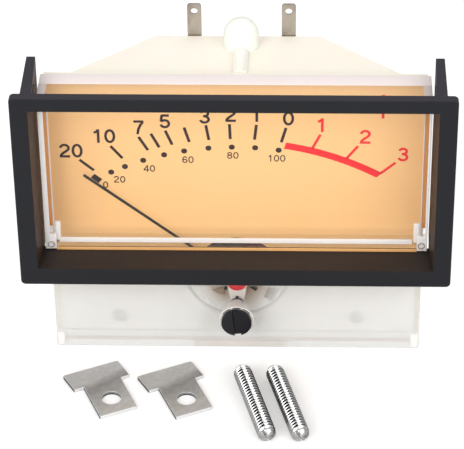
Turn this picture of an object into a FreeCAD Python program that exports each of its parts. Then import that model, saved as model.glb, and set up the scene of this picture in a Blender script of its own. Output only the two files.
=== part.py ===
import FreeCAD, Part
import math
import os
import re

from FreeCAD import Placement, Rotation, Vector

os.makedirs("parts", exist_ok=True)
doc = FreeCAD.newDocument("meter")

# Driving dimensions in millimetres. +X is right, +Y is rearward, +Z is up, and the floor is z = 0.
sheet = doc.addObject("Spreadsheet::Sheet", "sizes")
dimensions = {
    "bezelWidth": 134.6, "bezelHeight": 68.9, "bezelBottom": 36.1, "bezelFront": -31,
    "bezelThick": 2.8, "bezelCorner": 1.5, "bezelEdge": 0.5,
    "windowWidth": 123.4, "windowHeight": 58, "windowBottom": 42.3, "windowDraft": 1.1,
    "sleeveWidth": 128, "sleeveWall": 2.4, "sleeveRear": -19, "sleeveTopRear": -25,
    "armRear": -6.7, "armThin": 2.7,
    "slotLength": 20, "slotWidth": 1.8, "slotFront": -13.5,
    "coverWidth": 120.2, "coverFront": -21.2, "coverBottom": 42.9, "coverTop": 99.1,
    "coverRear": -7, "coverWall": 1.3, "coverFace": 1.8, "plateWidth": 118, "plateFront": -15.5,
    "plateThick": 1.5, "bossNeck": 3.4, "bossRim": 5.6, "bossRimThick": 1.2, "bossFront": -23,
    "flangeWidth": 118.4, "flangeTop": 98.4, "flangeThick": 2, "caseWide": 108, "caseNarrow": 51,
    "caseRear": 20.5, "caseTop": 96.8, "caseWall": 2,
    "dialWidth": 117, "dialFront": -9, "dialThick": 0.5, "dialBottom": 26.8, "dialTop": 96.6,
    "dialCut": 14.6, "carrierWidth": 116.6, "carrierBottom": 1.8, "carrierTop": 97.4,
    "carrierThick": 1.4, "carrierCut": 17, "footWidth": 114.8,
    "pivotHeight": 24.6, "pointerLong": 62, "pointerWide": 0.8, "pointerThick": 0.4,
    "pointerFront": -10.6, "restAngle": -50.7, "hubRound": 2, "hubFront": -11.3, "pivotRound": 0.35,
    "coilHalf": 8.6, "coilWide": 3.2, "coilFront": -5.4, "coilRear": 11, "coilSheet": 0.7,
    "windingThick": 0.9, "windingWide": 2.6,
    "coreRound": 7, "coreFront": -3.6, "coreLong": 12.8, "yokeInner": 10.6, "yokeOuter": 14.4,
    "frameOuter": 16.4, "frameFront": -7.6, "frameWeb": 0.7, "frameEye": 3.2,
    "frameRear": 11.6, "movementThick": 1.5,
    "movementWide": 44, "movementTop": 46, "movementHole": 12, "movementScrew": 17,
    "movementScrewUp": 41,
    "bridgeHalf": 15.4, "bridgeWide": 4.6, "bridgeFront": -12.3, "bridgeThick": 0.8,
    "postRound": 1.3, "jewelRound": 1.6, "jewelHead": 3, "jewelFront": -13.8,
    "leverFront": -12.95, "leverThick": 0.5, "leverWide": 7, "leverFork": 1.3,
    "adjusterHeight": 16.3, "adjusterHead": 4.85, "adjusterFront": -24.4, "adjusterShaft": 2.5,
    "adjusterSlot": 2, "adjusterSlotDeep": 1, "adjusterTilt": -6, "runningGap": 0.06,
    "pinRound": 0.5, "pinThrow": 1.6, "pinRear": -12.4,
    "tagPlace": 14.9, "tagWide": 4.5, "tagThick": 0.8, "tagFoot": 87, "tagTop": 108,
    "tagHole": 1.1, "tagHoleDown": 2.6, "rearShift": 1.3,
    "tagScrew": 91.2, "screwRound": 1.5, "screwHead": 2.8,
    "domeRound": 5.6, "domePlace": 14.6, "domeRise": 3.8, "domeWall": 1.1, "ribWide": 5,
    "ribFront": -4.6, "lampRound": 2.4, "lampFoot": 93.5, "lampTop": 101.5, "holderRound": 3.2,
    "holderFoot": 83, "carrierScrew": 38.8, "carrierScrewUp": 8, "carrierScrewHead": 2.2,
    "carrierScrewShank": 1.1,
    "stopPlace": 16, "stopRound": 0.5, "springWire": 0.15, "springPitch": 1, "springTurns": 3,
    "frontSpring": -11.75, "rearSpring": 12,
    "clampBar": 19, "clampBarDeep": 8.2, "clampStem": 12.6, "clampLong": 24.4, "clampThick": 1.3,
    "clampHole": 2.9, "clampHoleDown": 15.4, "clampStep": 23.9, "clampTurn": 25.6,
    "clampLeft": -55.8, "clampBack": -33, "setRound": 3, "setLong": 35, "setTurn": 14.8,
    "setLeft": 1.6, "setBack": -30.9, "setStep": 10.4,
}
for row, (alias, number) in enumerate(dimensions.items(), start=1):
    sheet.set(f"A{row}", alias)
    sheet.set(f"B{row}", str(number))
    sheet.setAlias(f"B{row}", alias)
doc.recompute()

alongY = Rotation(Vector(1, 0, 0), -90)


def size(alias):
    return float(sheet.get(alias))


def bound(text):
    """Writes a plain formula as one that reads its names from the sheet."""
    return re.sub(r"([A-Za-z]\w*)(?!\w*\()", lambda m: word(m.group(1)), str(text))


def word(name):
    return f"sizes.{name}" if name in dimensions else name


def put(item, x, y, z):
    for axis, formula in zip("xyz", (x, y, z)):
        item.setExpression(f"Placement.Base.{axis}", bound(formula))
    return item


def box(name, wide, deep, tall, x, y, z):
    item = doc.addObject("Part::Box", name)
    item.setExpression("Length", bound(wide))
    item.setExpression("Width", bound(deep))
    item.setExpression("Height", bound(tall))
    return put(item, x, y, z)


def rod(name, radius, front, rear, x, z):
    """A cylinder along Y from front to rear."""
    item = doc.addObject("Part::Cylinder", name)
    item.Placement = Placement(Vector(), alongY)
    item.setExpression("Radius", bound(radius))
    item.setExpression("Height", bound(f"{rear} - ({front})"))
    return put(item, x, front, z)


def post(name, radius, foot, top, x, y):
    item = doc.addObject("Part::Cylinder", name)
    item.setExpression("Radius", bound(radius))
    item.setExpression("Height", bound(f"{top} - ({foot})"))
    return put(item, x, y, foot)


def taper(name, front, rear, halfFront, halfRear, lowFront, highFront, lowRear, highRear):
    """A block from front to rear in Y whose width and height change evenly."""
    item = doc.addObject("Part::Wedge", name)
    item.setExpression("Ymin", bound(front))
    item.setExpression("Ymax", bound(rear))
    item.setExpression("Xmin", bound(f"-({halfFront})"))
    item.setExpression("Xmax", bound(halfFront))
    item.setExpression("X2min", bound(f"-({halfRear})"))
    item.setExpression("X2max", bound(halfRear))
    item.setExpression("Zmin", bound(lowFront))
    item.setExpression("Zmax", bound(highFront))
    item.setExpression("Z2min", bound(lowRear))
    item.setExpression("Z2max", bound(highRear))
    return item


def join(name, *items):
    item = doc.addObject("Part::MultiFuse", name)
    item.Shapes = list(items)
    item.Refine = True
    return item


def cut(name, base, tool):
    item = doc.addObject("Part::Cut", name)
    item.Base = base
    item.Tool = tool
    return item


def common(name, first, second):
    item = doc.addObject("Part::MultiCommon", name)
    item.Shapes = [first, second]
    return item


def rounded(name, base, radius, wanted):
    """Rounds the edges of base that wanted picks."""
    doc.recompute()
    item = doc.addObject("Part::Fillet", name)
    item.Base = base
    edges = enumerate(base.Shape.Edges, start=1)
    item.Edges = [(i, radius, radius) for i, edge in edges if wanted(edge)]
    return item


def turned(name, items, angle, height):
    """Carries pieces drawn upright round an axis along Y at x = 0 and the given height."""
    group = join(name + "Upright", *items) if len(items) > 1 else items[0]
    item = doc.addObject("Part::Compound", name)
    item.Links = [group]
    turn = Rotation(Vector(0, 1, 0), angle)
    centre = Vector(0, 0, height)
    item.Placement = Placement(centre - turn.multVec(centre), turn)
    return item


def along(edge, axis):
    direction = edge.lastVertex().Point - edge.firstVertex().Point
    return abs(abs(direction.dot(axis)) - edge.Length) < 1e-6


def middleY(edge):
    return (edge.firstVertex().Point.y + edge.lastVertex().Point.y) / 2


def isRound(edge):
    return not isinstance(edge.Curve, (Part.Line, Part.LineSegment))


def plate(name, points, front, thick):
    """A PartDesign plate in the XZ plane, from its outline and arcs, front face at y = front."""
    body = doc.addObject("PartDesign::Body", name + "Body")
    sketch = body.newObject("Sketcher::SketchObject", name + "Outline")
    plane = [f for f in body.Origin.OriginFeatures if f.Role == "XZ_Plane"][0]
    sketch.AttachmentSupport = [(plane, "")]
    sketch.MapMode = "FlatFace"
    for piece in points:
        sketch.addGeometry(piece, False)
    pad = body.newObject("PartDesign::Pad", name + "Pad")
    pad.Profile = sketch
    pad.Reversed = True
    pad.setExpression("Length", bound(thick))
    body.setExpression("Placement.Base.y", bound(front))
    return body


def outline(points):
    closed = list(points) + [points[0]]
    return [Part.LineSegment(Vector(*a, 0), Vector(*b, 0)) for a, b in zip(closed, closed[1:])]


def circle(x, z, radius):
    return Part.Circle(Vector(x, z, 0), Vector(0, 0, 1), radius)


nodes = {}

# Bezel: a front flange, a short sleeve behind it, cut back at the top, and two side arms that
# take the clamp plates.
flange = box("bezelFlange", "bezelWidth", "bezelThick", "bezelHeight",
             "-bezelWidth / 2", "bezelFront", "bezelBottom")
flange = rounded("bezelCorners", flange, size("bezelCorner"), lambda e: along(e, Vector(0, 1, 0)))
flange = rounded("bezelFrontEdge", flange, size("bezelEdge"),
                 lambda e: abs(middleY(e) - size("bezelFront")) < 1e-6
                 and not along(e, Vector(0, 1, 0)))
sleeve = box("bezelSleeve", "sleeveWidth", "sleeveRear - bezelFront - bezelThick",
             "windowHeight + sleeveWall * 2", "-sleeveWidth / 2", "bezelFront + bezelThick",
             "windowBottom - sleeveWall")
armBlock = taper("armBlock", "bezelFront + bezelThick", "armRear", "sleeveWidth / 2",
                 "sleeveWidth / 2", "windowBottom - sleeveWall", "bezelBottom + bezelHeight",
                 "windowBottom - sleeveWall", "bezelBottom + bezelHeight")
armGap = taper("armGap", "bezelFront + bezelThick", "armRear + 1",
               "windowWidth / 2 - windowDraft", "sleeveWidth / 2 - armThin",
               "bezelBottom - 1", "bezelBottom + bezelHeight + 1",
               "bezelBottom - 1", "bezelBottom + bezelHeight + 1")
arms = cut("bezelArms", armBlock, armGap)
sleeveNotch = box("sleeveNotch", "windowWidth - windowDraft * 2", "sleeveRear - sleeveTopRear + 1",
                  "sleeveWall * 2 + 1", "-windowWidth / 2 + windowDraft", "sleeveTopRear",
                  "windowBottom + windowHeight - sleeveWall")
sleeve = cut("bezelSleeveOpen", sleeve, sleeveNotch)
shell = join("bezelShell", flange, sleeve, arms)
hole = taper("bezelHole", "bezelFront - 1", "sleeveRear + 1", "windowWidth / 2 + 0.1",
             "windowWidth / 2 - windowDraft", "windowBottom - 0.02",
             "windowBottom + windowHeight + 0.1", "windowBottom + 0.3",
             "windowBottom + windowHeight - 0.6")
slots = box("clampSlots", "bezelWidth", "slotWidth", "slotLength", "-bezelWidth / 2",
            "slotFront", "bezelBottom + (bezelHeight - slotLength) / 2")
nodes["bezel_frame"] = cut("bezelDone", cut("bezelOpen", shell, hole), slots)

# Clear cover: the window box, the set-back lower box and the boss for the zero adjuster.
windowBox = box("windowBox", "coverWidth", "coverRear - coverFront", "coverTop - coverBottom",
                "-coverWidth / 2", "coverFront", "coverBottom")
windowBox = rounded("windowBoxEdges", windowBox, 0.6,
                    lambda e: abs(middleY(e) - size("coverFront")) < 1e-6)
lowerBox = box("lowerBox", "plateWidth", "coverRear - plateFront", "coverBottom + coverWall",
               "-plateWidth / 2", "plateFront", "0")
boss = rod("bossNeckRod", "bossNeck", "bossFront", "plateFront + 0.2", "0", "adjusterHeight")
rim = rod("bossRimRod", "bossRim", "bossFront", "bossFront + bossRimThick", "0", "adjusterHeight")
coverSolid = join("coverSolid", windowBox, lowerBox, boss, rim)
windowInside = box("windowInside", "coverWidth - coverWall * 2",
                   "coverRear - coverFront - coverFace + 1", "coverTop - coverBottom - coverWall * 2",
                   "-coverWidth / 2 + coverWall", "coverFront + coverFace",
                   "coverBottom + coverWall")
lowerInside = box("lowerInside", "plateWidth - coverWall * 2",
                  "coverRear - plateFront - plateThick + 1", "coverBottom + coverWall",
                  "-plateWidth / 2 + coverWall", "plateFront + plateThick", "coverWall")
bossBore = rod("bossBore", "adjusterShaft + runningGap", "bossFront - 1",
               "plateFront + plateThick + 1", "0", "adjusterHeight")
coverHollow = join("coverHollow", windowInside, lowerInside, bossBore)
nodes["clear_cover"] = cut("coverDone", coverSolid, coverHollow)

# Rear case: a flange that closes the cover and a light box that narrows to the rear.
caseFlange = box("caseFlange", "flangeWidth", "flangeThick", "flangeTop", "-flangeWidth / 2",
                 "coverRear", "0")
lightBox = taper("lightBox", "coverRear + flangeThick", "caseRear", "caseWide / 2",
                 "caseNarrow / 2", "0", "caseTop", "0", "caseTop")
lightBox = rounded("lightBoxEdges", lightBox, 0.8,
                   lambda e: abs(middleY(e) - size("caseRear")) < 1e-6)
caseSolid = join("caseSolid", caseFlange, lightBox)
caseInside = taper("caseInside", "coverRear - 1", "caseRear - caseWall", "caseWide / 2 - caseWall",
                   "caseNarrow / 2 - caseWall", "caseWall", "caseTop - caseWall", "caseWall",
                   "caseTop - caseWall")
domeHole = post("domeHole", "domeRound - domeWall", "caseTop - caseWall - 1", "caseTop + 1",
                "rearShift", "domePlace")
tagScrewHoles = [rod(f"tagScrewHole{side}", "screwRound", "caseRear - caseWall - 1",
                     "caseRear + 1", f"{side} * tagPlace + rearShift", "tagScrew") for side in (-1, 1)]
caseHollow = join("caseHollow", caseInside, domeHole, *tagScrewHoles)
caseOpen = cut("caseOpen", caseSolid, caseHollow)
bosses = []
bores = []
for side in (-1, 1):
    place = f"{side} * carrierScrew"
    bosses.append(rod(f"caseBoss{side}", "carrierScrewShank * 2.4", "coverRear", "coverRear + 6",
                      place, "carrierScrewUp"))
    bores.append(rod(f"caseBossBore{side}", "carrierScrewShank", "coverRear - 1", "coverRear + 4",
                     place, "carrierScrewUp"))
    bosses.append(box(f"caseBossWeb{side}", "carrierScrewShank * 2", "6", "carrierScrewUp - 1",
                      f"{place} - carrierScrewShank", "coverRear", "0.5"))
for side in (-1, 1):
    place = f"{side} * movementScrew"
    bosses.append(rod(f"movementBoss{side}", "carrierScrewShank * 2.3", "frameRear + movementThick",
                      "caseRear - caseWall + 0.5", place, "movementScrewUp"))
    bores.append(rod(f"movementBossBore{side}", "carrierScrewShank", "frameRear",
                     "caseRear - caseWall - 1", place, "movementScrewUp"))
caseBossed = join("caseBossed", caseOpen, *bosses)
nodes["rear_case"] = cut("caseDone", caseBossed, join("caseBores", *bores))

# Lamp cap: a small round turret over the lamp with a rib that runs forward from it.
capPost = post("capPost", "domeRound", "caseTop", "caseTop + domeRise", "rearShift", "domePlace")
capBall = doc.addObject("Part::Sphere", "capBall")
capBall.setExpression("Radius", bound("domeRound"))
put(capBall, "rearShift", "domePlace", "caseTop + domeRise")
capRib = rod("capRib", "ribWide / 2", "ribFront", "domePlace", "rearShift", "caseTop")
capSolid = join("capSolid", capPost, capBall, capRib)
capRoom = post("capRoom", "domeRound - domeWall", "caseTop - 1", "caseTop + domeRise",
               "rearShift", "domePlace")
capRoomTop = doc.addObject("Part::Sphere", "capRoomTop")
capRoomTop.setExpression("Radius", bound("domeRound - domeWall"))
put(capRoomTop, "rearShift", "domePlace", "caseTop + domeRise")
below = box("belowCap", "40", "60", "20", "-20", "-20", "caseTop - 20")
nodes["lamp_cap"] = cut("capDone", capSolid, join("capHollow", capRoom, capRoomTop, below))

# Lamp in its holder, which hangs on the rear wall.
lampGlass = post("lampGlass", "lampRound", "lampFoot", "lampTop - lampRound", "rearShift",
                 "domePlace")
lampTip = doc.addObject("Part::Sphere", "lampTip")
lampTip.setExpression("Radius", bound("lampRound"))
put(lampTip, "rearShift", "domePlace", "lampTop - lampRound")
nodes["lamp"] = join("lampDone", lampGlass, lampTip)
holderBody = post("holderBody", "holderRound", "holderFoot", "lampFoot", "rearShift", "domePlace")
holderPad = box("holderPad", "holderRound * 2", "caseRear - caseWall - domePlace", "6",
                "rearShift - holderRound", "domePlace", "holderFoot")
nodes["lamp_holder"] = join("holderDone", holderBody, holderPad)

# Dial plate: a flat translucent sheet with a round notch at its foot for the movement.
stepUp = "coverBottom + coverWall + 0.2"
dialUpper = box("dialUpper", "dialWidth", "dialThick", f"dialTop - ({stepUp})", "-dialWidth / 2",
                "dialFront", stepUp)
dialFoot = box("dialFoot", "footWidth", "dialThick", f"{stepUp} + 1 - dialBottom",
               "-footWidth / 2", "dialFront", "dialBottom")
dialSheet = join("dialSheet", dialUpper, dialFoot)
dialNotch = rod("dialNotch", "dialCut", "dialFront - 1", "dialFront + dialThick + 1", "0",
                "pivotHeight")
nodes["dial_plate"] = cut("dialDone", dialSheet, dialNotch)

# Carrier: the white panel behind the dial that closes the light box.
carrierUpper = box("carrierUpper", "carrierWidth", "carrierThick", f"carrierTop - ({stepUp})",
                   "-carrierWidth / 2", "dialFront + dialThick", stepUp)
carrierFoot = box("carrierFoot", "footWidth", "carrierThick", f"{stepUp} + 1 - carrierBottom",
                  "-footWidth / 2", "dialFront + dialThick", "carrierBottom")
carrierSheet = join("carrierSheet", carrierUpper, carrierFoot)
carrierHole = rod("carrierHole", "carrierCut", "dialFront", "coverRear + 1", "0", "pivotHeight")
carrierHoles = [carrierHole]
for side in (-1, 1):
    carrierHoles.append(rod(f"carrierScrewHole{side}", "carrierScrewShank", "dialFront",
                            "coverRear + 1", f"{side} * carrierScrew", "carrierScrewUp"))
nodes["dial_carrier"] = cut("carrierDone", carrierSheet, join("carrierHollow", *carrierHoles))

screws = []
for side in (-1, 1):
    place = f"{side} * carrierScrew"
    head = rod(f"carrierHead{side}", "carrierScrewHead", "dialFront - 1", "dialFront + dialThick",
               place, "carrierScrewUp")
    shank = rod(f"carrierShank{side}", "carrierScrewShank", "dialFront - 0.5", "coverRear + 3.6",
                place, "carrierScrewUp")
    slotAcross = box(f"carrierSlot{side}", "carrierScrewHead * 2", "0.5", "0.6",
                     f"{place} - carrierScrewHead", "dialFront - 1", "carrierScrewUp - 0.3")
    slotUp = box(f"carrierSlotUp{side}", "0.6", "0.5", "carrierScrewHead * 2",
                 f"{place} - 0.3", "dialFront - 1", "carrierScrewUp - carrierScrewHead")
    screws.append(cut(f"carrierScrew{side}", join(f"carrierScrewSolid{side}", head, shank),
                      join(f"carrierCross{side}", slotAcross, slotUp)))


def group(name, items):
    item = doc.addObject("Part::Compound", name)
    item.Links = list(items)
    return item


nodes["carrier_screws"] = group("carrierScrews", screws)

# Magnet system: round magnet core, soft-iron yoke ring and the two spacers between them.
coreRear = "coreFront + coreLong"
nodes["magnet_core"] = rod("magnetCore", "coreRound", "coreFront", coreRear, "0", "pivotHeight")
yokeSolid = rod("yokeSolid", "yokeOuter", "coreFront", coreRear, "0", "pivotHeight")
yokeBore = rod("yokeBore", "yokeInner", "coreFront - 1", f"{coreRear} + 1", "0", "pivotHeight")
nodes["yoke_ring"] = cut("yokeDone", yokeSolid, yokeBore)
gapSolid = rod("gapSolid", "yokeInner", "coreFront", coreRear, "0", "pivotHeight")
gapCore = rod("gapCore", "coreRound", "coreFront - 1", f"{coreRear} + 1", "0", "pivotHeight")
gapRing = cut("gapRing", gapSolid, gapCore)
spacerBar = box("spacerBar", "3.4", "coreLong / 2", "yokeInner * 2 + 2", "-1.7",
                "coreFront + coreLong / 4", "pivotHeight - yokeInner - 1")
nodes["core_spacers"] = common("coreSpacers", gapRing, spacerBar)

# Movement frame: a moulded cup round the yoke, its front closed but for an eye for the hub, on a
# plate that stands in the case.
frameTube = rod("frameTube", "frameOuter", "frameFront", "frameRear", "0", "pivotHeight")
frameBore = rod("frameBore", "yokeOuter", "frameFront + frameWeb", "frameRear + 1", "0",
                "pivotHeight")
frameEye = rod("frameEye", "frameEye", "frameFront - 1", "frameRear", "0", "pivotHeight")
nodes["movement_frame"] = cut("frameDone", frameTube, join("frameHollow", frameBore, frameEye))
movementSheet = box("movementSheet", "movementWide", "movementThick", "movementTop - caseWall",
                    "-movementWide / 2", "frameRear", "caseWall")
movementHole = rod("movementHole", "movementHole", "frameRear - 1",
                   "frameRear + movementThick + 1", "0", "pivotHeight")
movementHoles = [movementHole]
screws = []
for side in (-1, 1):
    place = f"{side} * movementScrew"
    movementHoles.append(rod(f"movementScrewHole{side}", "carrierScrewShank", "frameRear - 1",
                             "frameRear + movementThick + 1", place, "movementScrewUp"))
    head = rod(f"movementHead{side}", "carrierScrewHead", "frameRear - 1.4", "frameRear", place,
               "movementScrewUp")
    shank = rod(f"movementShank{side}", "carrierScrewShank", "frameRear - 1", "caseRear - 4",
                place, "movementScrewUp")
    screws.append(join(f"movementScrew{side}", head, shank))
nodes["movement_screws"] = group("movementScrews", screws)
nodes["movement_plate"] = cut("movementDone", movementSheet, join("movementHoles", *movementHoles))

# Bridges that carry the jewel screws, and the posts and screws that hold them.
jewelHole = rod("frontJewelHole", "jewelRound", "bridgeFront - 1", "bridgeFront + 2", "0",
                "pivotHeight")
frontStrap = box("frontStrap", "bridgeHalf * 2", "bridgeThick", "bridgeWide", "-bridgeHalf",
                 "bridgeFront", "pivotHeight - bridgeWide / 2")
posts = []
for side in (-1, 1):
    posts.append(rod(f"bridgePost{side}", "postRound", "bridgeFront + bridgeThick", "frameFront",
                     f"{side} * (frameOuter + yokeOuter) / 2", "pivotHeight"))
strapEnds = [box(f"strapEnd{side}", "2.2", "bridgeThick", "bridgeWide",
                 f"{side} * bridgeHalf - 1.1", "bridgeFront", "pivotHeight - bridgeWide / 2")
             for side in (-1, 1)]
nodes["front_bridge"] = cut("frontBridgeDone", join("frontStrapLong", frontStrap, *strapEnds),
                            jewelHole)
nodes["bridge_posts"] = group("bridgePosts", posts)
plateRear = "frameRear + movementThick"
rearStrap = box("rearStrap", "bridgeWide", "bridgeThick * 1.5", "movementHole * 2 + 8",
                "-bridgeWide / 2", plateRear, "pivotHeight - movementHole - 4")
rearJewelHole = rod("rearJewelHole", "jewelRound", f"{plateRear} - 1", f"{plateRear} + 2", "0",
                    "pivotHeight")
nodes["rear_bridge"] = cut("rearBridge", rearStrap, rearJewelHole)

# Jewel screws: a threaded barrel with a blind seat for the pivot. The front one is sealed in red.
jewelFlat = rod("jewelFlat", "jewelHead", "jewelFront", "leverFront - 0.05", "0", "pivotHeight")
jewelBarrel = rod("jewelBarrel", "jewelRound", "jewelFront", "bridgeFront + bridgeThick", "0",
                  "pivotHeight")
jewelSeat = rod("jewelSeat", "pivotRound + 0.05", "bridgeFront - 0.4", "bridgeFront + 2", "0",
                "pivotHeight")
nodes["front_jewel_screw"] = cut("frontJewel", join("frontJewelSolid", jewelFlat, jewelBarrel),
                                 jewelSeat)
rearBarrel = rod("rearBarrel", "jewelRound", f"{plateRear} + 0.1", f"{plateRear} + 3.6", "0",
                 "pivotHeight")
rearSeat = rod("rearSeat", "pivotRound + 0.05", plateRear, f"{plateRear} + 1.4", "0",
               "pivotHeight")
nodes["rear_jewel_screw"] = cut("rearJewel", rearBarrel, rearSeat)

# Moving coil: bobbin, winding, hub, pivots, pointer and balance weights, drawn upright and then
# turned to the rest angle.
rest = size("restAngle")
height = size("pivotHeight")


def loop(name, half, front, rear, wall, wide):
    """A rectangular loop round the core, with its two long sides left and right."""
    solid = box(name + "Solid", f"({half}) * 2", f"({rear}) - ({front})", wide, f"-({half})",
                front, f"pivotHeight - ({wide}) / 2")
    inside = box(name + "Inside", f"(({half}) - ({wall})) * 2",
                 f"({rear}) - ({front}) - ({wall}) * 2", f"({wide}) + 2",
                 f"-(({half}) - ({wall}))", f"({front}) + ({wall})",
                 f"pivotHeight - ({wide}) / 2 - 1")
    return cut(name + "Loop", solid, inside)


bobbin = loop("bobbin", "coilHalf", "coilFront", "coilRear", "coilSheet", "coilWide")
nodes["coil_bobbin"] = turned("coilBobbin", [bobbin], rest, height)
winding = loop("winding", "coilHalf + windingThick", "coilFront - windingThick",
               "coilRear + windingThick", "windingThick", "windingWide")
nodes["coil_winding"] = turned("coilWinding", [winding], rest, height)
windingFront = "coilFront - windingThick"
windingRear = "coilRear + windingThick"
hubRod = rod("hubRod", "hubRound * 0.8", "hubFront", windingFront, "0", "pivotHeight")
hubBase = rod("hubBase", "hubRound", f"{windingFront} - 1.2", windingFront, "0", "pivotHeight")
nodes["pointer_hub"] = turned("pointerHub", [hubRod, hubBase], rest, height)
rearHubRod = rod("rearHubRod", "hubRound", windingRear, f"{windingRear} + 0.9", "0", "pivotHeight")
nodes["rear_hub"] = turned("rearHub", [rearHubRod], rest, height)
nodes["front_pivot"] = rod("frontPivot", "pivotRound", "bridgeFront + 0.05", "hubFront", "0",
                           "pivotHeight")
nodes["rear_pivot"] = rod("rearPivot", "pivotRound", f"{windingRear} + 0.9", f"{plateRear} + 1.2",
                          "0", "pivotHeight")
blade = box("pointerBlade", "pointerWide", "pointerThick", "pointerLong - 1", "-pointerWide / 2",
            "pointerFront", "pivotHeight + 1")
collar = rod("pointerCollar", "hubRound * 1.3", "pointerFront", "pointerFront + pointerThick",
             "0", "pivotHeight")
tail = box("pointerTail", "1", "pointerThick", "7", "-0.5", "pointerFront", "pivotHeight - 8")
crossArm = box("pointerCross", "13", "pointerThick", "1", "-6.5", "pointerFront",
               "pivotHeight - 0.5")
pointerBore = rod("pointerBore", "hubRound * 0.8", "pointerFront - 1", "pointerFront + 1", "0",
                  "pivotHeight")
pointerSolid = cut("pointerSolid", join("pointerBlank", blade, collar, tail, crossArm),
                   pointerBore)
nodes["pointer"] = turned("pointerDone", [pointerSolid], rest, height)
weightPlaces = [("-6", "pivotHeight"), ("6", "pivotHeight"), ("0", "pivotHeight - 7")]
weights = []
for number, (x, z) in enumerate(weightPlaces):
    weights.append(rod(f"weight{number}", "0.9", "pointerFront + pointerThick",
                       "pointerFront + pointerThick + 0.9", x, z))
weightGroup = group("weightGroup", weights)
nodes["balance_weights"] = turned("balanceWeights", [weightGroup], rest, height)

# Zero lever: it turns on the neck of the front jewel screw, and its fork holds the adjuster's pin.
gap = size("runningGap")
jewel = size("jewelRound")
half = size("leverWide") / 2
fork = size("leverFork") / 2
forkTop = size("adjusterHeight") + size("pinThrow") + size("pinRound") + 0.5
forkFoot = size("adjusterHeight") + size("pinThrow") - 1.6
leverPoints = [(-half, height), (-half * 0.55, forkFoot), (-fork, forkFoot), (-fork, forkTop),
               (fork, forkTop), (fork, forkFoot), (half * 0.55, forkFoot), (half, height)]
leverEdges = outline(leverPoints)[:-1]
leverEdges.append(Part.ArcOfCircle(circle(0, height, half), 0, math.pi))
leverEdges.append(circle(0, height, jewel + gap))
nodes["zero_lever"] = plate("lever", leverEdges, "leverFront", "leverThick")

# Zero adjuster: slotted head, shaft in the boss and an eccentric pin at its rear end.
adjusterHead = rod("adjusterHeadRod", "adjusterHead", "adjusterFront", "bossFront - 0.1", "0",
                   "adjusterHeight")
adjusterShaft = rod("adjusterShaftRod", "adjusterShaft", "adjusterFront + 1",
                    "plateFront + plateThick", "0", "adjusterHeight")
adjusterPin = rod("adjusterPinRod", "pinRound", "plateFront", "pinRear", "0",
                  "adjusterHeight + pinThrow")
adjusterSolid = join("adjusterSolid", adjusterHead, adjusterShaft, adjusterPin)
slot = box("adjusterSlotBox", "adjusterSlot", "adjusterSlotDeep", "adjusterHead * 2 + 2",
           "-adjusterSlot / 2", "adjusterFront", "adjusterHeight - adjusterHead - 1")
slotTurned = turned("adjusterSlotTurned", [slot], size("adjusterTilt"), size("adjusterHeight"))
nodes["zero_adjuster"] = cut("adjusterDone", adjusterSolid, slotTurned)

# Pointer stops: two pins on the dial at the ends of the travel.
stopPins = []
for name, angle in (("stopLow", rest - 6.6), ("stopHigh", rest + 107.6)):
    turnedTo = math.radians(angle)
    pin = rod(name, "stopRound", "dialFront - 2", "dialFront",
              f"stopPlace * {math.sin(turnedTo):.5f}",
              f"pivotHeight + stopPlace * {math.cos(turnedTo):.5f}")
    stopPins.append(pin)
nodes["pointer_stops"] = group("pointerStops", stopPins)


def hairspring(name, middle, turns, startRadius, pitch, wire):
    """A flat spiral of half circles about the pivot axis, as one unbroken tube."""
    edges = []
    points = []
    radius = startRadius
    centreX = 0.0
    side = 1
    for _ in range(int(turns * 2)):
        start = Vector(centreX + side * radius, middle, height)
        top = Vector(centreX, middle, height + side * radius)
        end = Vector(centreX - side * radius, middle, height)
        edges.append(Part.Arc(start, top, end).toShape())
        points.extend(edges[-1].discretize(40))
        centreX += side * pitch / 2
        radius += pitch / 2
        side = -side
    path = Part.Wire(edges)
    start = edges[0].Vertexes[0].Point
    tangent = Vector(0, 0, 1)
    ring = Part.Wire([Part.Circle(start, tangent, wire).toShape()])
    pipe = path.makePipeShell([ring], True, False)
    wholeTurn = 80
    gaps = [a.distanceToPoint(b) - wire * 2 for i, a in enumerate(points)
            for b in points[i + wholeTurn - 30:i + wholeTurn + 30]]
    print(f"{name}: least gap to itself {min(gaps):.3f} mm, length {path.Length:.1f} mm")
    item = doc.addObject("Part::Feature", name)
    item.Shape = pipe
    return item


wire = size("springWire")
startRadius = size("hubRound") + wire + 0.12
nodes["front_hairspring"] = hairspring("frontHairspring", size("frontSpring") + 0.63,
                                       size("springTurns"), startRadius, size("springPitch"), wire)
nodes["rear_hairspring"] = hairspring("rearHairspring", size("rearSpring") + 0.35,
                                      size("springTurns"), startRadius, size("springPitch"), wire)

# Solder tags on the rear wall, each under its own screw.
for side, name in ((-1, "left_tag"), (1, "right_tag")):
    centre = side * size("tagPlace") + size("rearShift")
    halfTag = size("tagWide") / 2
    foot = size("tagFoot")
    top = size("tagTop")
    round_ = halfTag * 0.45
    edges = [Part.LineSegment(Vector(centre - halfTag, top - round_, 0),
                              Vector(centre - halfTag, foot, 0)),
             Part.LineSegment(Vector(centre - halfTag, foot, 0), Vector(centre + halfTag, foot, 0)),
             Part.LineSegment(Vector(centre + halfTag, foot, 0),
                              Vector(centre + halfTag, top - round_, 0)),
             Part.ArcOfCircle(circle(centre + halfTag - round_, top - round_, round_), 0,
                              math.pi / 2),
             Part.LineSegment(Vector(centre + halfTag - round_, top, 0),
                              Vector(centre - halfTag + round_, top, 0)),
             Part.ArcOfCircle(circle(centre - halfTag + round_, top - round_, round_),
                              math.pi / 2, math.pi),
             circle(centre, top - size("tagHoleDown"), size("tagHole")),
             circle(centre, size("tagScrew"), size("screwRound"))]
    nodes[name] = plate(name.replace("_", ""), edges, "caseRear", "tagThick")
terminalScrews = []
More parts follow.
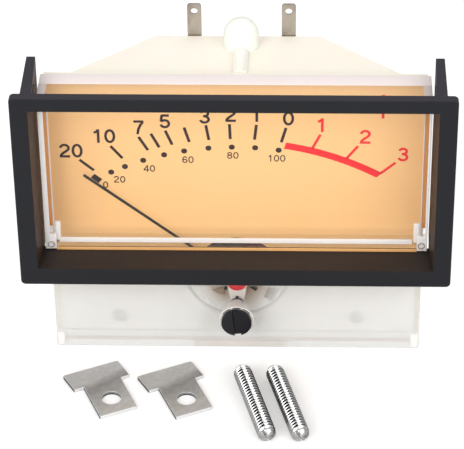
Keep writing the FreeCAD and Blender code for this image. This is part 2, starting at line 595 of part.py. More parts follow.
for side in (-1, 1):
    place = f"{side} * tagPlace + rearShift"
    head = rod(f"terminalHead{side}", "screwHead", "caseRear + tagThick",
               "caseRear + tagThick + 1.8", place, "tagScrew")
    shank = rod(f"terminalShank{side}", "screwRound", "caseRear - caseWall - 4",
                "caseRear + tagThick + 1", place, "tagScrew")
    drive = box(f"terminalSlot{side}", "screwHead * 2", "0.8", "0.8", f"{place} - screwHead",
                "caseRear + tagThick + 1.1", "tagScrew - 0.4")
    terminalScrews.append(cut(f"terminalScrew{side}",
                              join(f"terminalScrewSolid{side}", head, shank), drive))
nodes["terminal_screws"] = group("terminalScrews", terminalScrews)
nuts = []
for side in (-1, 1):
    nut = doc.addObject("Part::Prism", f"terminalNutBlank{side}")
    nut.Polygon = 6
    nut.Placement = Placement(Vector(), alongY)
    nut.setExpression("Circumradius", bound("screwRound * 2.1"))
    nut.setExpression("Height", bound("screwRound * 1.6"))
    put(nut, f"{side} * tagPlace + rearShift", "caseRear - caseWall - screwRound * 1.6", "tagScrew")
    bore = rod(f"terminalNutBore{side}", "screwRound", "caseRear - 10", "caseRear",
               f"{side} * tagPlace + rearShift", "tagScrew")
    nuts.append(cut(f"terminalNut{side}", nut, bore))
nodes["terminal_nuts"] = group("terminalNuts", nuts)


# Loose fixing kit on the floor in front: two clamp plates and two set screws.
def clampPlate(number):
    bar = size("clampBar")
    deep = size("clampBarDeep")
    stem = size("clampStem")
    long = size("clampLong")
    shift = (bar - stem) / 2
    points = [(0, 0), (bar, 0), (bar, -deep), (bar - shift, -deep), (bar - shift, -long),
              (shift, -long), (shift, -deep), (0, -deep)]
    body = doc.addObject("PartDesign::Body", f"clampPlate{number}")
    sketch = body.newObject("Sketcher::SketchObject", f"clampOutline{number}")
    plane = [f for f in body.Origin.OriginFeatures if f.Role == "XY_Plane"][0]
    sketch.AttachmentSupport = [(plane, "")]
    sketch.MapMode = "FlatFace"
    for piece in outline(points) + [circle(bar / 2, -size("clampHoleDown"), size("clampHole"))]:
        sketch.addGeometry(piece, False)
    pad = body.newObject("PartDesign::Pad", f"clampPad{number}")
    pad.Profile = sketch
    pad.setExpression("Length", bound("clampThick"))
    body.Placement = Placement(Vector(), Rotation(Vector(0, 0, 1), size("clampTurn")))
    return put(body, f"clampLeft + {number} * clampStep", "clampBack", "0")


nodes["clamp_plates"] = group("clampPlates", [clampPlate(0), clampPlate(1)])


def setScrew(number):
    body = doc.addObject("Part::Cylinder", f"setRod{number}")
    body.setExpression("Radius", bound("setRound"))
    body.setExpression("Height", bound("setLong"))
    drive = box(f"setSlot{number}", "setRound * 2 + 2", "1", "2.2", "-setRound - 1", "-0.5",
                "setLong - 1.4")
    ends = rounded(f"setEnds{number}", body, 0.9, isRound)
    screw = cut(f"setScrew{number}", ends, drive)
    lay = Rotation(Vector(0, 0, 1), size("setTurn")) * Rotation(Vector(1, 0, 0), 90)
    screw.Placement = Placement(Vector(), lay)
    return put(screw, f"setLeft + {number} * setStep", "setBack", "setRound")


nodes["set_screws"] = group("setScrews", [setScrew(0), setScrew(1)])

doc.recompute()

for node, item in nodes.items():
    item.Label = node
    bad = [state for state in item.State if state in ("Invalid", "Error")]
    if bad or item.Shape.isNull() or not item.Shape.isValid():
        raise RuntimeError(f"{node} is not sound: {item.State}")
for item in doc.Objects:
    if "Invalid" in item.State or "Error" in item.State:
        raise RuntimeError(f"{item.Name} failed")
for node, item in nodes.items():
    box_ = item.Shape.BoundBox
    print(f"{node:20s} solids {len(item.Shape.Solids)} volume {item.Shape.Volume:10.1f}  "
          f"x {box_.XMin:7.2f} {box_.XMax:7.2f}  y {box_.YMin:7.2f} {box_.YMax:7.2f}  "
          f"z {box_.ZMin:7.2f} {box_.ZMax:7.2f}")
    item.Shape.exportStep(f"parts/{node}.step")
print(len(nodes), "nodes written")
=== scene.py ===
import math

import bmesh
import bpy
from mathutils import Matrix, Vector


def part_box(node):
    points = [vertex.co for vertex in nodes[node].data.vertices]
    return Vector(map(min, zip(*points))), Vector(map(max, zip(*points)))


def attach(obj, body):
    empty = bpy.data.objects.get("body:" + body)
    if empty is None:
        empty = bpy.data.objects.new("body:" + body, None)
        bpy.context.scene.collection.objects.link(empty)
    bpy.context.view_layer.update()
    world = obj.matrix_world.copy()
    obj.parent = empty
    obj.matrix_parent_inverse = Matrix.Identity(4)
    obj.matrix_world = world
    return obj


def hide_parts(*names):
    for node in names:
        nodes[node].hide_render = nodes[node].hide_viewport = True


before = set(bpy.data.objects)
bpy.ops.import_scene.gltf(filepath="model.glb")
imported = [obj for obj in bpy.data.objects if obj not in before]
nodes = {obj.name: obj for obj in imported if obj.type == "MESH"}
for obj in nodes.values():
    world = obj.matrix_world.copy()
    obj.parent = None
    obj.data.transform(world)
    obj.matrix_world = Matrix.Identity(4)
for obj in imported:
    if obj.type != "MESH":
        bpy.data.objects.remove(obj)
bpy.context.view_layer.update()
mm = 0.001
bossHeight = (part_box("zero_adjuster")[0].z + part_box("zero_adjuster")[1].z) / 2
pivotHeight = (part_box("front_jewel_screw")[0].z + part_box("front_jewel_screw")[1].z) / 2


def tone(red, green, blue):  # a colour as it looks on screen, 0 to 255, turned linear
    def linear(value):
        value = value / 255
        return value / 12.92 if value <= 0.04045 else ((value + 0.055) / 1.055) ** 2.4
    return (linear(red), linear(green), linear(blue), 1.0)


def linked(name, data):
    made = bpy.data.objects.new(name, data)
    bpy.context.scene.collection.objects.link(made)
    return made


# camera, where the photograph's corners place it
cameraValues = {"place": (20.99, -655.88, 497.49), "aim": (-0.0285, 0.8187, -0.5736),
                "right": (0.9996, 0.0273, -0.0107), "focalPixels": 2476.9, "pictureWide": 464,
                "sensor": 36.0}


def makeCamera(v):
    aim = Vector(v["aim"]).normalized()
    right = Vector(v["right"])
    right = (right - aim * right.dot(aim)).normalized()
    up = right.cross(aim)
    turn = Matrix((right, up, -aim)).transposed().to_4x4()
    data = bpy.data.cameras.new("camera")
    data.sensor_width = v["sensor"]
    data.lens = v["focalPixels"] * v["sensor"] / v["pictureWide"]
    data.clip_end = 20
    camera = linked("camera", data)
    camera.matrix_world = Matrix.Translation(Vector(v["place"]) * mm) @ turn
    bpy.context.scene.camera = camera


makeCamera(cameraValues)

lightValues = {
    "world": 0.6,
    "lamps": [  # place, aim, size, watts
        ((-0.6, -1.15, 0.75), (0, 0, 0.05), 0.9, 12.4),
        ((0.75, -0.95, 0.65), (0, 0, 0.05), 0.8, 6.6),
        ((0.0, 0.45, 1.2), (0, 0, 0.06), 0.8, 2.5),
    ],
}


def makeLights(v):
    for number, (place, aim, size, watts) in enumerate(v["lamps"]):
        data = bpy.data.lights.new(f"softbox{number}", "AREA")
        data.size = size
        data.energy = watts
        lamp = linked(f"softbox{number}", data)
        lamp.location = place
        lamp.rotation_euler = (Vector(aim) - Vector(place)).to_track_quat("-Z", "Y").to_euler()
    world = bpy.data.worlds.new("studio")
    bpy.context.scene.world = world
    world.use_nodes = True
    tree = world.node_tree
    tree.nodes.clear()
    out = tree.nodes.new("ShaderNodeOutputWorld")
    seen = tree.nodes.new("ShaderNodeBackground")
    lit = tree.nodes.new("ShaderNodeBackground")
    seen.inputs["Strength"].default_value = 1.0
    seen.inputs["Color"].default_value = (1, 1, 1, 1)
    lit.inputs["Strength"].default_value = v["world"]
    lit.inputs["Color"].default_value = (1, 1, 1, 1)
    path = tree.nodes.new("ShaderNodeLightPath")
    seenShare = math2(tree, "MAXIMUM", path.outputs["Is Camera Ray"],
                      path.outputs["Is Transmission Ray"])
    tree.links.new(mixShaders(tree, seenShare, lit.outputs[0], seen.outputs[0]), out.inputs[0])


bpy.context.scene.view_settings.view_transform = "Standard"


# small steps and node groups shared by the materials
def newGroup(name, given):
    tree = bpy.data.node_groups.new(name, "ShaderNodeTree")
    for label, value in given.items():
        kind = "NodeSocketColor" if isinstance(value, tuple) else "NodeSocketFloat"
        socket = tree.interface.new_socket(name=label, in_out="INPUT", socket_type=kind)
        socket.default_value = value
    for label, kind in (("Colour", "NodeSocketColor"), ("Roughness", "NodeSocketFloat"),
                        ("Height", "NodeSocketFloat")):
        tree.interface.new_socket(name=label, in_out="OUTPUT", socket_type=kind)
    return tree, tree.nodes.new("NodeGroupInput"), tree.nodes.new("NodeGroupOutput")


def math2(tree, operation, first, second):
    node = tree.nodes.new("ShaderNodeMath")
    node.operation = operation
    for socket, value in zip(node.inputs, (first, second)):
        if isinstance(value, (int, float)):
            socket.default_value = value
        else:
            tree.links.new(value, socket)
    return node.outputs[0]


def noise(tree, vector, scale, detail=3.0):
    node = tree.nodes.new("ShaderNodeTexNoise")
    node.inputs["Detail"].default_value = detail
    tree.links.new(vector, node.inputs["Vector"])
    if isinstance(scale, (int, float)):
        node.inputs["Scale"].default_value = scale
    else:
        tree.links.new(scale, node.inputs["Scale"])
    return node.outputs["Fac"]


def mixColour(tree, share, first, second, blend="MIX"):
    node = tree.nodes.new("ShaderNodeMix")
    node.data_type = "RGBA"
    node.blend_type = blend
    node.clamp_factor = True
    for socket, value in ((node.inputs[0], share), (node.inputs[6], first), (node.inputs[7], second)):
        if isinstance(value, (int, float, tuple)):
            socket.default_value = value
        else:
            tree.links.new(value, socket)
    return node.outputs[2]


def outlet(tree):  # where a material's finished shader goes
    return [n for n in tree.nodes if n.type == "OUTPUT_MATERIAL"][0].inputs["Surface"]


def mixShaders(tree, share, first, second):
    node = tree.nodes.new("ShaderNodeMixShader")
    for socket, value in zip(node.inputs, (share, first, second)):
        tree.links.new(value, socket)
    return node.outputs[0]


def objectPlace(tree):
    parts = tree.nodes.new("ShaderNodeSeparateXYZ")
    tree.links.new(tree.nodes.new("ShaderNodeTexCoord").outputs["Object"], parts.inputs[0])
    return parts.outputs


def faceDirection(tree):
    parts = tree.nodes.new("ShaderNodeSeparateXYZ")
    tree.links.new(tree.nodes.new("ShaderNodeNewGeometry").outputs["Normal"], parts.inputs[0])
    return parts.outputs


def distance(tree, across, along):
    squares = [math2(tree, "POWER", value, 2.0) for value in (across, along)]
    return math2(tree, "POWER", math2(tree, "ADD", *squares), 0.5)


def awayFrom(tree, place, height):  # distance from an axis along Y at that height
    return distance(tree, place["X"], math2(tree, "SUBTRACT", place["Z"], height))


def fade(tree, value, none, full):  # 0 at the first value, 1 at the second, soft between
    node = tree.nodes.new("ShaderNodeMapRange")
    node.interpolation_type = "SMOOTHSTEP"
    node.inputs["From Min"].default_value = none
    node.inputs["From Max"].default_value = full
    tree.links.new(value, node.inputs["Value"])
    return node.outputs["Result"]


def makeRamp(tree, value, stops):
    ramp = tree.nodes.new("ShaderNodeValToRGB")
    while len(ramp.color_ramp.elements) < len(stops):
        ramp.color_ramp.elements.new(0.5)
    for element, (place, grey) in zip(ramp.color_ramp.elements, stops):
        element.position = place
        element.color = (grey, grey, grey, 1)
    tree.links.new(value, ramp.inputs["Fac"])
    return ramp.outputs["Color"]


def makeMouldSkin():  # cloudy colour, fine grain and faint flow marks of a moulded surface
    tree, given, made = newGroup("mouldSkin", {
        "Colour": (0.5, 0.5, 0.5, 1), "Shade": (0.4, 0.4, 0.4, 1), "Cloud": 40.0, "Grain": 2500.0,
        "Rough": 0.4, "Spread": 0.1})
    place = tree.nodes.new("ShaderNodeTexCoord").outputs["Object"]
    cloud = noise(tree, place, given.outputs["Cloud"], 4.0)
    grain = noise(tree, place, given.outputs["Grain"], 2.0)
    tree.links.new(mixColour(tree, cloud, given.outputs["Colour"], given.outputs["Shade"]),
                   made.inputs["Colour"])
    offset = math2(tree, "SUBTRACT", math2(tree, "ADD", cloud, grain), 1.0)
    spread = math2(tree, "MULTIPLY", offset, given.outputs["Spread"])
    tree.links.new(math2(tree, "ADD", given.outputs["Rough"], spread), made.inputs["Roughness"])
    tree.links.new(math2(tree, "ADD", math2(tree, "MULTIPLY", grain, 0.7),
                         math2(tree, "MULTIPLY", cloud, 0.3)), made.inputs["Height"])
    return tree


def makeMetalSkin():  # plating with fine drawn lines, stains and small scratches
    tree, given, made = newGroup("metalSkin", {
        "Colour": (0.6, 0.6, 0.6, 1), "Stain": (0.3, 0.3, 0.3, 1), "Lines": 900.0, "Stains": 180.0,
        "Rough": 0.3, "Spread": 0.2})
    place = tree.nodes.new("ShaderNodeTexCoord").outputs["Object"]
    stretch = tree.nodes.new("ShaderNodeMapping")
    stretch.inputs["Scale"].default_value = (1.0, 0.06, 0.06)
    tree.links.new(place, stretch.inputs["Vector"])
    lines = noise(tree, stretch.outputs["Vector"], given.outputs["Lines"], 5.0)
    stains = noise(tree, place, given.outputs["Stains"], 4.0)
    sharp = tree.nodes.new("ShaderNodeMapRange")
    sharp.inputs["From Min"].default_value = 0.45
    sharp.inputs["From Max"].default_value = 0.75
    tree.links.new(stains, sharp.inputs["Value"])
    tree.links.new(mixColour(tree, sharp.outputs["Result"], given.outputs["Colour"],
                             given.outputs["Stain"]), made.inputs["Colour"])
    spread = math2(tree, "MULTIPLY", math2(tree, "SUBTRACT", math2(tree, "ADD", lines, stains), 1.0),
                   given.outputs["Spread"])
    tree.links.new(math2(tree, "ADD", given.outputs["Rough"], spread), made.inputs["Roughness"])
    tree.links.new(lines, made.inputs["Height"])
    return tree


makeLights(lightValues)
mouldSkin = makeMouldSkin()
metalSkin = makeMetalSkin()
print("lights and groups made")


def startMaterial(name):
    material = bpy.data.materials.new(name)
    material.use_nodes = True
    tree = material.node_tree
    shader = [n for n in tree.nodes if n.type == "BSDF_PRINCIPLED"][0]
    return material, tree, shader


def placeSkin(tree, shader, group, values, bump):
    skin = tree.nodes.new("ShaderNodeGroup")
    skin.node_tree = group
    for label, value in values.items():
        skin.inputs[label].default_value = value
    tree.links.new(skin.outputs["Colour"], shader.inputs["Base Color"])
    tree.links.new(skin.outputs["Roughness"], shader.inputs["Roughness"])
    raised = tree.nodes.new("ShaderNodeBump")
    raised.inputs["Strength"].default_value = bump[0]
    raised.inputs["Distance"].default_value = bump[1] * mm
    tree.links.new(skin.outputs["Height"], raised.inputs["Height"])
    tree.links.new(raised.outputs["Normal"], shader.inputs["Normal"])
    return skin


def plastic(name, colour, shade, rough, spread=0.1, bump=(0.15, 0.05), grain=2500.0, cloud=40.0,
            **fixed):
    material, tree, shader = startMaterial(name)
    placeSkin(tree, shader, mouldSkin, {"Colour": colour, "Shade": shade, "Cloud": cloud,
                                        "Grain": grain, "Rough": rough, "Spread": spread}, bump)
    for label, value in fixed.items():
        shader.inputs[label.replace("_", " ")].default_value = value
    return material


def metal(name, colour, stain, rough, spread=0.2, bump=(0.2, 0.02), lines=900.0, stains=180.0):
    material, tree, shader = startMaterial(name)
    shader.inputs["Metallic"].default_value = 1.0
    placeSkin(tree, shader, metalSkin, {"Colour": colour, "Stain": stain, "Lines": lines,
                                        "Stains": stains, "Rough": rough, "Spread": spread}, bump)
    return material


clearValues = {"milkFrom": 31, "milkFull": 26, "clearRound": 6, "milkRound": 14, "bossFront": -15.6,
               "bossFull": -16.2, "bossEdge": 7, "bossRound": 6, "cloud": 0.12, "leastMirror": 0.008,
               "mostMirror": 0.9}


def clearPlastic(name, tint, milk, lowMilk, bossMilk, rough):  # clear, mirrors at a low angle
    v = clearValues
    material, tree, shader = startMaterial(name)
    placeSkin(tree, shader, mouldSkin, {"Colour": tint, "Shade": tint, "Cloud": 60.0, "Grain": 1500.0,
                                        "Rough": 0.5, "Spread": 0.04}, (0.03, 0.02))
    shader.inputs["Specular IOR Level"].default_value = 0.0
    through = tree.nodes.new("ShaderNodeBsdfTransparent")
    through.inputs["Color"].default_value = (0.985, 0.983, 0.98, 1)
    mirror = tree.nodes.new("ShaderNodeBsdfGlossy")
    mirror.inputs["Roughness"].default_value = rough
    mirror.inputs["Color"].default_value = (0.95, 0.94, 0.93, 1)
    glance = tree.nodes.new("ShaderNodeLayerWeight")
    glance.inputs["Blend"].default_value = 0.5
    power = math2(tree, "POWER", glance.outputs["Facing"], 5.0)
    path = tree.nodes.new("ShaderNodeLightPath")
    unlit = math2(tree, "SUBTRACT", 1.0, path.outputs["Is Shadow Ray"])
    shine = math2(tree, "ADD", math2(tree, "MULTIPLY", power, v["mostMirror"]), v["leastMirror"])
    glassy = mixShaders(tree, math2(tree, "MULTIPLY", shine, unlit), through.outputs[0],
                        mirror.outputs[0])
    place = objectPlace(tree)
    low = fade(tree, place["Z"], v["milkFrom"] * mm, v["milkFull"] * mm)
    clear = fade(tree, awayFrom(tree, place, pivotHeight), v["clearRound"] * mm, v["milkRound"] * mm)
    vector = tree.nodes.new("ShaderNodeTexCoord").outputs["Object"]
    cloud = math2(tree, "MULTIPLY", noise(tree, vector, 30.0), v["cloud"])
    lowShare = math2(tree, "MULTIPLY", math2(tree, "MULTIPLY", low, clear),
                     math2(tree, "ADD", cloud, lowMilk))
    boss = math2(tree, "MULTIPLY", fade(tree, place["Y"], v["bossFront"] * mm, v["bossFull"] * mm),
                 fade(tree, awayFrom(tree, place, bossHeight), v["bossEdge"] * mm, v["bossRound"] * mm))
    lowShare = math2(tree, "MAXIMUM", lowShare, math2(tree, "MULTIPLY", boss, bossMilk))
    milkShare = math2(tree, "MULTIPLY", math2(tree, "MAXIMUM", lowShare, milk), unlit)
    tree.links.new(mixShaders(tree, milkShare, glassy, shader.outputs[0]), outlet(tree))
    return material


# painted light on the black moulding: a paler sheen on top, brown light on the low ledge and brown dial
# light on inward faces
blackPaintedLight = {"top": tone(43, 40, 48), "ledge": tone(40, 33, 31), "inward": tone(50, 35, 25),
              "middle": 60, "topFull": 70, "ledgeFull": 50, "inwardFrom": -45, "inwardFull": -30,
              "facing": (0.3, 0.9)}


def blackWithPaintedLight(v):  # dark moulding with painted light: a painted sheen makes it paler on top, and painted brown light falls on its low upward faces and on faces turned to the lit dial
    material, tree, shader = startMaterial("blackMould")
    skin = placeSkin(tree, shader, mouldSkin, {
        "Colour": tone(23, 24, 29), "Shade": tone(18, 19, 24), "Cloud": 40.0, "Grain": 5200.0,
        "Rough": 0.5, "Spread": 0.16}, (0.25, 0.04))
    shader.inputs["Specular IOR Level"].default_value = 0.25
    facing = faceDirection(tree)
    place = objectPlace(tree)
    up = fade(tree, facing["Z"], *v["facing"])
    side = math2(tree, "SIGN", place["X"], 0.0)
    inward = math2(tree, "MULTIPLY", math2(tree, "MULTIPLY", facing["X"], side), -1.0)
    # painted sheen on upper top faces, painted light on the low ledge, painted dial light on faces
    # turned inward
    paintedLightShares = (
        ("top", up, fade(tree, place["Z"], v["middle"] * mm, v["topFull"] * mm)),
        ("ledge", up, fade(tree, place["Z"], v["middle"] * mm, v["ledgeFull"] * mm)),
        ("inward", fade(tree, inward, *v["facing"]),
         fade(tree, place["Y"], v["inwardFrom"] * mm, v["inwardFull"] * mm)))
    colour = skin.outputs["Colour"]
    for tint, turned, near in paintedLightShares:
        colour = mixColour(tree, math2(tree, "MULTIPLY", turned, near), colour, v[tint])
    tree.links.new(colour, shader.inputs["Base Color"])
    return material


blackMould = blackWithPaintedLight(blackPaintedLight)
glossBlack = plastic("glossBlack", tone(26, 25, 30), tone(20, 20, 24), 0.3, 0.1, (0.1, 0.03),
                     Specular_IOR_Level=0.3)
creamMould = plastic("creamMould", tone(250, 243, 231), tone(246, 237, 222), 0.32, 0.08,
                     (0.08, 0.05), Subsurface_Weight=0.25, Subsurface_Scale=0.002)
milkMould = plastic("milkMould", tone(252, 247, 238), tone(248, 241, 230), 0.25, 0.06, (0.06, 0.05),
                    Subsurface_Weight=0.4, Subsurface_Scale=0.003)
whiteMould = plastic("whiteMould", tone(222, 221, 218), tone(215, 213, 210), 0.4, 0.08, (0.08, 0.05))
# white of the clear cover's edges and rings is painted highlight; the dim copy is a fainter painted
# highlight and the dark copy is painted shade on the pegs
paintedHighlight = plastic("paintedHighlight", tone(246, 243, 241), tone(236, 231, 228), 0.3, 0.1, (0.3, 0.1),
                  grain=900.0)
dimPaintedHighlight = plastic("dimPaintedHighlight", tone(226, 214, 213), tone(212, 200, 198), 0.35, 0.1, (0.3, 0.1),
                     grain=900.0)
paintedPegShade = plastic("paintedPegShade", tone(176, 158, 148), tone(150, 134, 126), 0.35, 0.1, (0.3, 0.1),
                      grain=900.0)
leverPlastic = plastic("leverPlastic", tone(232, 226, 220), tone(214, 207, 200), 0.35)
amberLight = plastic("amberLight", tone(238, 184, 122), tone(226, 168, 104), 0.3, grain=900.0)
pinkWhite = plastic("pinkWhite", tone(252, 240, 238), tone(242, 230, 227), 0.3, grain=900.0)
footShade = plastic("footShade", tone(204, 194, 187), tone(188, 178, 171), 0.35, grain=900.0)
leadBronze = plastic("leadBronze", tone(112, 80, 54), tone(86, 58, 38), 0.35, grain=900.0)
leadGrey = plastic("leadGrey", tone(168, 148, 130), tone(150, 128, 110), 0.4, grain=900.0)
amberEdge = plastic("amberEdge", tone(206, 142, 78), tone(188, 122, 60), 0.3, 0.1, (0.2, 0.1),
                    grain=900.0)
greyMould = plastic("greyMould", tone(170, 162, 150), tone(150, 142, 132), 0.45)
holderMould = plastic("holderMould", tone(228, 222, 208), tone(214, 208, 192), 0.45)
redLacquer = plastic("redLacquer", tone(238, 56, 60), tone(200, 34, 44), 0.22, 0.1, (0.3, 0.1),
                     grain=700.0, cloud=300.0, Coat_Weight=0.3)
inkBlack = plastic("inkBlack", tone(58, 36, 36), tone(48, 30, 32), 0.6, 0.1, (0.05, 0.01),
                   Specular_IOR_Level=0.15)
inkRed = plastic("inkRed", tone(244, 44, 52), tone(236, 38, 46), 0.6, 0.1, (0.05, 0.01),
                 Specular_IOR_Level=0.15)
brightZinc = metal("brightZinc", (0.78, 0.78, 0.78, 1), (0.58, 0.58, 0.57, 1), 0.2, 0.18)
tinPlate = metal("tinPlate", (0.48, 0.44, 0.40, 1), (0.32, 0.29, 0.26, 1), 0.3, 0.2)
turnedBrass = metal("turnedBrass", (0.78, 0.6, 0.32, 1), (0.6, 0.43, 0.2, 1), 0.28)
bronzeStrip = metal("bronzeStrip", (0.7, 0.42, 0.22, 1), (0.5, 0.28, 0.14, 1), 0.3)
copperTurns = metal("copperTurns", (0.62, 0.26, 0.12, 1), (0.42, 0.16, 0.07, 1), 0.34, lines=4200.0)
softIron = metal("softIron", (0.42, 0.42, 0.43, 1), (0.3, 0.29, 0.28, 1), 0.38)
magnetSkin = metal("magnetSkin", (0.26, 0.26, 0.27, 1), (0.18, 0.18, 0.18, 1), 0.5)
hardSteel = metal("hardSteel", (0.66, 0.66, 0.68, 1), (0.52, 0.52, 0.53, 1), 0.2)
thinSheet = metal("thinSheet", (0.8, 0.79, 0.76, 1), (0.66, 0.65, 0.62, 1), 0.3)
clearStyrene = clearPlastic("clearStyrene", tone(226, 225, 222), 0.01, 0.34, 0.6, 0.05)
lampGlass = clearPlastic("lampGlass", tone(240, 238, 232), 0.1, 0.0, 0.0, 0.04)

# painted shade inside the movement's cup
chamberShade = {"brownRound": 7, "paleRound": 16, "pale": tone(219, 216, 212), "darkFrom": 32,
                 "darkFull": 36, "left": tone(30, 17, 11), "right": tone(92, 16, 15),
                 "leftEnd": -2, "rightEnd": 7}


def makeChamber(v):  # pale cup; painted shade, partly standing for the brown parts behind it, makes it browner about the pivot, and painted shade makes it dark behind the dial's notch, dark brown on the left to the deep red of the parts on the right
    material, tree, shader = startMaterial("chamberMould")
    skin = placeSkin(tree, shader, mouldSkin, {
        "Colour": tone(188, 166, 148), "Shade": tone(174, 150, 130), "Cloud": 60.0,
        "Grain": 1800.0, "Rough": 0.5, "Spread": 0.1}, (0.1, 0.03))
    place = objectPlace(tree)
    # painted shade about the pivot, fading to the pale rim
    rim = fade(tree, awayFrom(tree, place, pivotHeight), v["brownRound"] * mm, v["paleRound"] * mm)
    pale = mixColour(tree, rim, skin.outputs["Colour"], v["pale"])
    # painted shade behind the dial's notch, from dark brown on the left to dark red on the right
    dark = mixColour(tree, fade(tree, place["X"], v["leftEnd"] * mm, v["rightEnd"] * mm), v["left"],
                     v["right"])
    high = fade(tree, place["Z"], v["darkFrom"] * mm, v["darkFull"] * mm)
    tree.links.new(mixColour(tree, high, pale, dark), shader.inputs["Base Color"])
    shader.inputs["Specular IOR Level"].default_value = 0.1
    return material


threadValues = {  # painted reflection bands: greys from the left side of a rod to its right, on the crests and, darker as painted shade, in the grooves
    "crest": [(0.0, 0.5), (0.1, 0.66), (0.15, 0.6), (0.4, 0.7), (0.46, 1.0), (0.62, 1.0), (0.7, 0.7),
              (0.9, 0.5), (1.0, 0.3)],
    "groove": [(0.0, 0.34), (0.1, 0.45), (0.15, 0.0), (0.4, 0.0), (0.46, 0.6), (0.58, 0.8),
               (0.66, 0.12), (0.9, 0.06), (1.0, 0.05)],
    "crestRound": 2.9, "grooveRound": 2.72, "nearEnd": (1.6, 2.8), "farEnd": (33.2, 32.0),
}


def makeThreadSteel(v):  # plated thread, with the studio's light and dark bands drawn along it as a painted reflection, and painted shade in its grooves
    material, tree, shader = startMaterial("threadSteel")
    skin = placeSkin(tree, shader, metalSkin, {"Lines": 2200.0, "Stains": 500.0, "Rough": 0.26,
                                               "Spread": 0.2}, (0.15, 0.02))
    place = objectPlace(tree)
    radius = distance(tree, place["X"], place["Y"])
    across = math2(tree, "DIVIDE", place["X"], radius)
    share = math2(tree, "ADD", math2(tree, "MULTIPLY", across, 0.5), 0.5)
    deep = fade(tree, radius, v["crestRound"] * mm, v["grooveRound"] * mm)
    ends = [fade(tree, place["Z"], *(end * mm for end in v[side])) for side in ("nearEnd", "farEnd")]
    grooved = math2(tree, "MULTIPLY", deep, math2(tree, "MULTIPLY", *ends))
    # painted reflection bands, darker in the grooves as painted shade
    colour = mixColour(tree, grooved, makeRamp(tree, share, v["crest"]),
                       makeRamp(tree, share, v["groove"]))
    tree.links.new(mixColour(tree, 0.25, colour, skin.outputs["Colour"], "MULTIPLY"),
                   shader.inputs["Base Color"])
    shader.inputs["Metallic"].default_value = 1.0
    return material


# painted light on the clamp plates: a reflection along their length, highlights on edges and walls,
# shade on left walls, and the bands of the drawn thread
clampLooksAndPaintedLight = {"length": [(0.0, 0.68), (0.28, 0.65), (0.4, 0.36), (0.62, 0.55), (0.8, 0.68),
                         (1.0, 0.78)],
              "reach": 30.0, "lean": -0.25, "mottle": tone(120, 120, 120), "edgeHighlight": (0.9, 0.9, 0.9, 1),
              "wall": (0.8, 0.8, 0.8, 1), "leftWallShade": (0.05, 0.05, 0.05, 1), "threadPitch": 0.65,
              "threadDark": (0.01, 0.01, 0.01, 1), "threadLight": (0.55, 0.55, 0.55, 1),
              "wallFacing": (0.6, 0.3), "leftFacing": (-0.35, -0.6), "edgeFacing": (0.985, 0.9),
              "threadReach": (0.8, 0.5), "threadWave": (0.2, 0.9)}


def makeClampSteel(v, hole):  # grey plating with painted light: a painted reflection darkens it at the neck, painted highlights brighten its edges and walls, painted shade darkens walls facing left, and a thread is drawn in the hole in bands of painted shade and light
    material, tree, shader = startMaterial("clampSteel")
    skin = placeSkin(tree, shader, metalSkin, {"Lines": 300.0, "Stains": 260.0, "Rough": 0.36,
                                               "Spread": 0.14}, (0.1, 0.02))
    facing = faceDirection(tree)
    vector = tree.nodes.new("ShaderNodeTexCoord").outputs["Object"]
    place = objectPlace(tree)
    length = math2(tree, "ADD", place["Y"], math2(tree, "MULTIPLY", place["X"], v["lean"]))
    # painted reflection along the plate's length, dark at the neck
    lengthReflection = makeRamp(tree, math2(tree, "MULTIPLY", length, -1 / (v["reach"] * mm)), v["length"])
    cloud = math2(tree, "MULTIPLY", noise(tree, vector, 700.0, 5.0), 0.5)
    mottle = mixColour(tree, cloud, lengthReflection, v["mottle"], "MULTIPLY")
    # painted highlights on walls and bevelled edges, painted shade on walls facing left
    wall = fade(tree, facing["Z"], *v["wallFacing"])
    edge = mixColour(tree, fade(tree, facing["X"], *v["leftFacing"]), v["wall"], v["leftWallShade"])
    colour = mixColour(tree, fade(tree, facing["Z"], *v["edgeFacing"]), mottle, v["edgeHighlight"])
    colour = mixColour(tree, wall, colour, edge)
    # thread drawn in the hole in bands of painted shade and painted light
    right, down, around = hole
    centred = distance(tree, math2(tree, "SUBTRACT", place["X"], right * mm),
                       math2(tree, "SUBTRACT", place["Y"], -down * mm))
    near = fade(tree, centred, *((around + reach) * mm for reach in v["threadReach"]))
    climb = math2(tree, "MULTIPLY", place["Z"], math.tau / (v["threadPitch"] * mm))
    turns = fade(tree, math2(tree, "SINE", climb, 0.0), *v["threadWave"])
    thread = mixColour(tree, turns, v["threadDark"], v["threadLight"])
    colour = mixColour(tree, math2(tree, "MULTIPLY", near, wall), colour, thread)
    tree.links.new(mixColour(tree, 0.15, colour, skin.outputs["Colour"], "MULTIPLY"),
                   shader.inputs["Base Color"])
    shader.inputs["Metallic"].default_value = 0.35
    return material


def makeNeedlePaint():  # dark paint that throws no shadow on the sheet behind it
    material, tree, shader = startMaterial("needlePaint")
    placeSkin(tree, shader, mouldSkin, {
        "Colour": tone(34, 28, 28), "Shade": tone(24, 20, 20), "Rough": 0.4, "Spread": 0.1},
        (0.05, 0.02))
    through = tree.nodes.new("ShaderNodeBsdfTransparent")
    path = tree.nodes.new("ShaderNodeLightPath")
    tree.links.new(mixShaders(tree, path.outputs["Is Shadow Ray"], shader.outputs[0],
                              through.outputs[0]), outlet(tree))
    return material


# painted light on the dial: the darker warm edges are painted shade, the glow is painted light, and the
# base is dimmed to make room for it
dialLooksAndPaintedLight = {"half": 0.058, "edge": tone(238, 178, 118), "edgeShare": 0.25, "top": tone(255, 212, 158),
             "topFrom": 0.084, "topFull": 0.0966, "topShare": 0.5, "dimUnderGlow": (0.82, 0.82, 0.82, 1),
             "glow": 0.2}


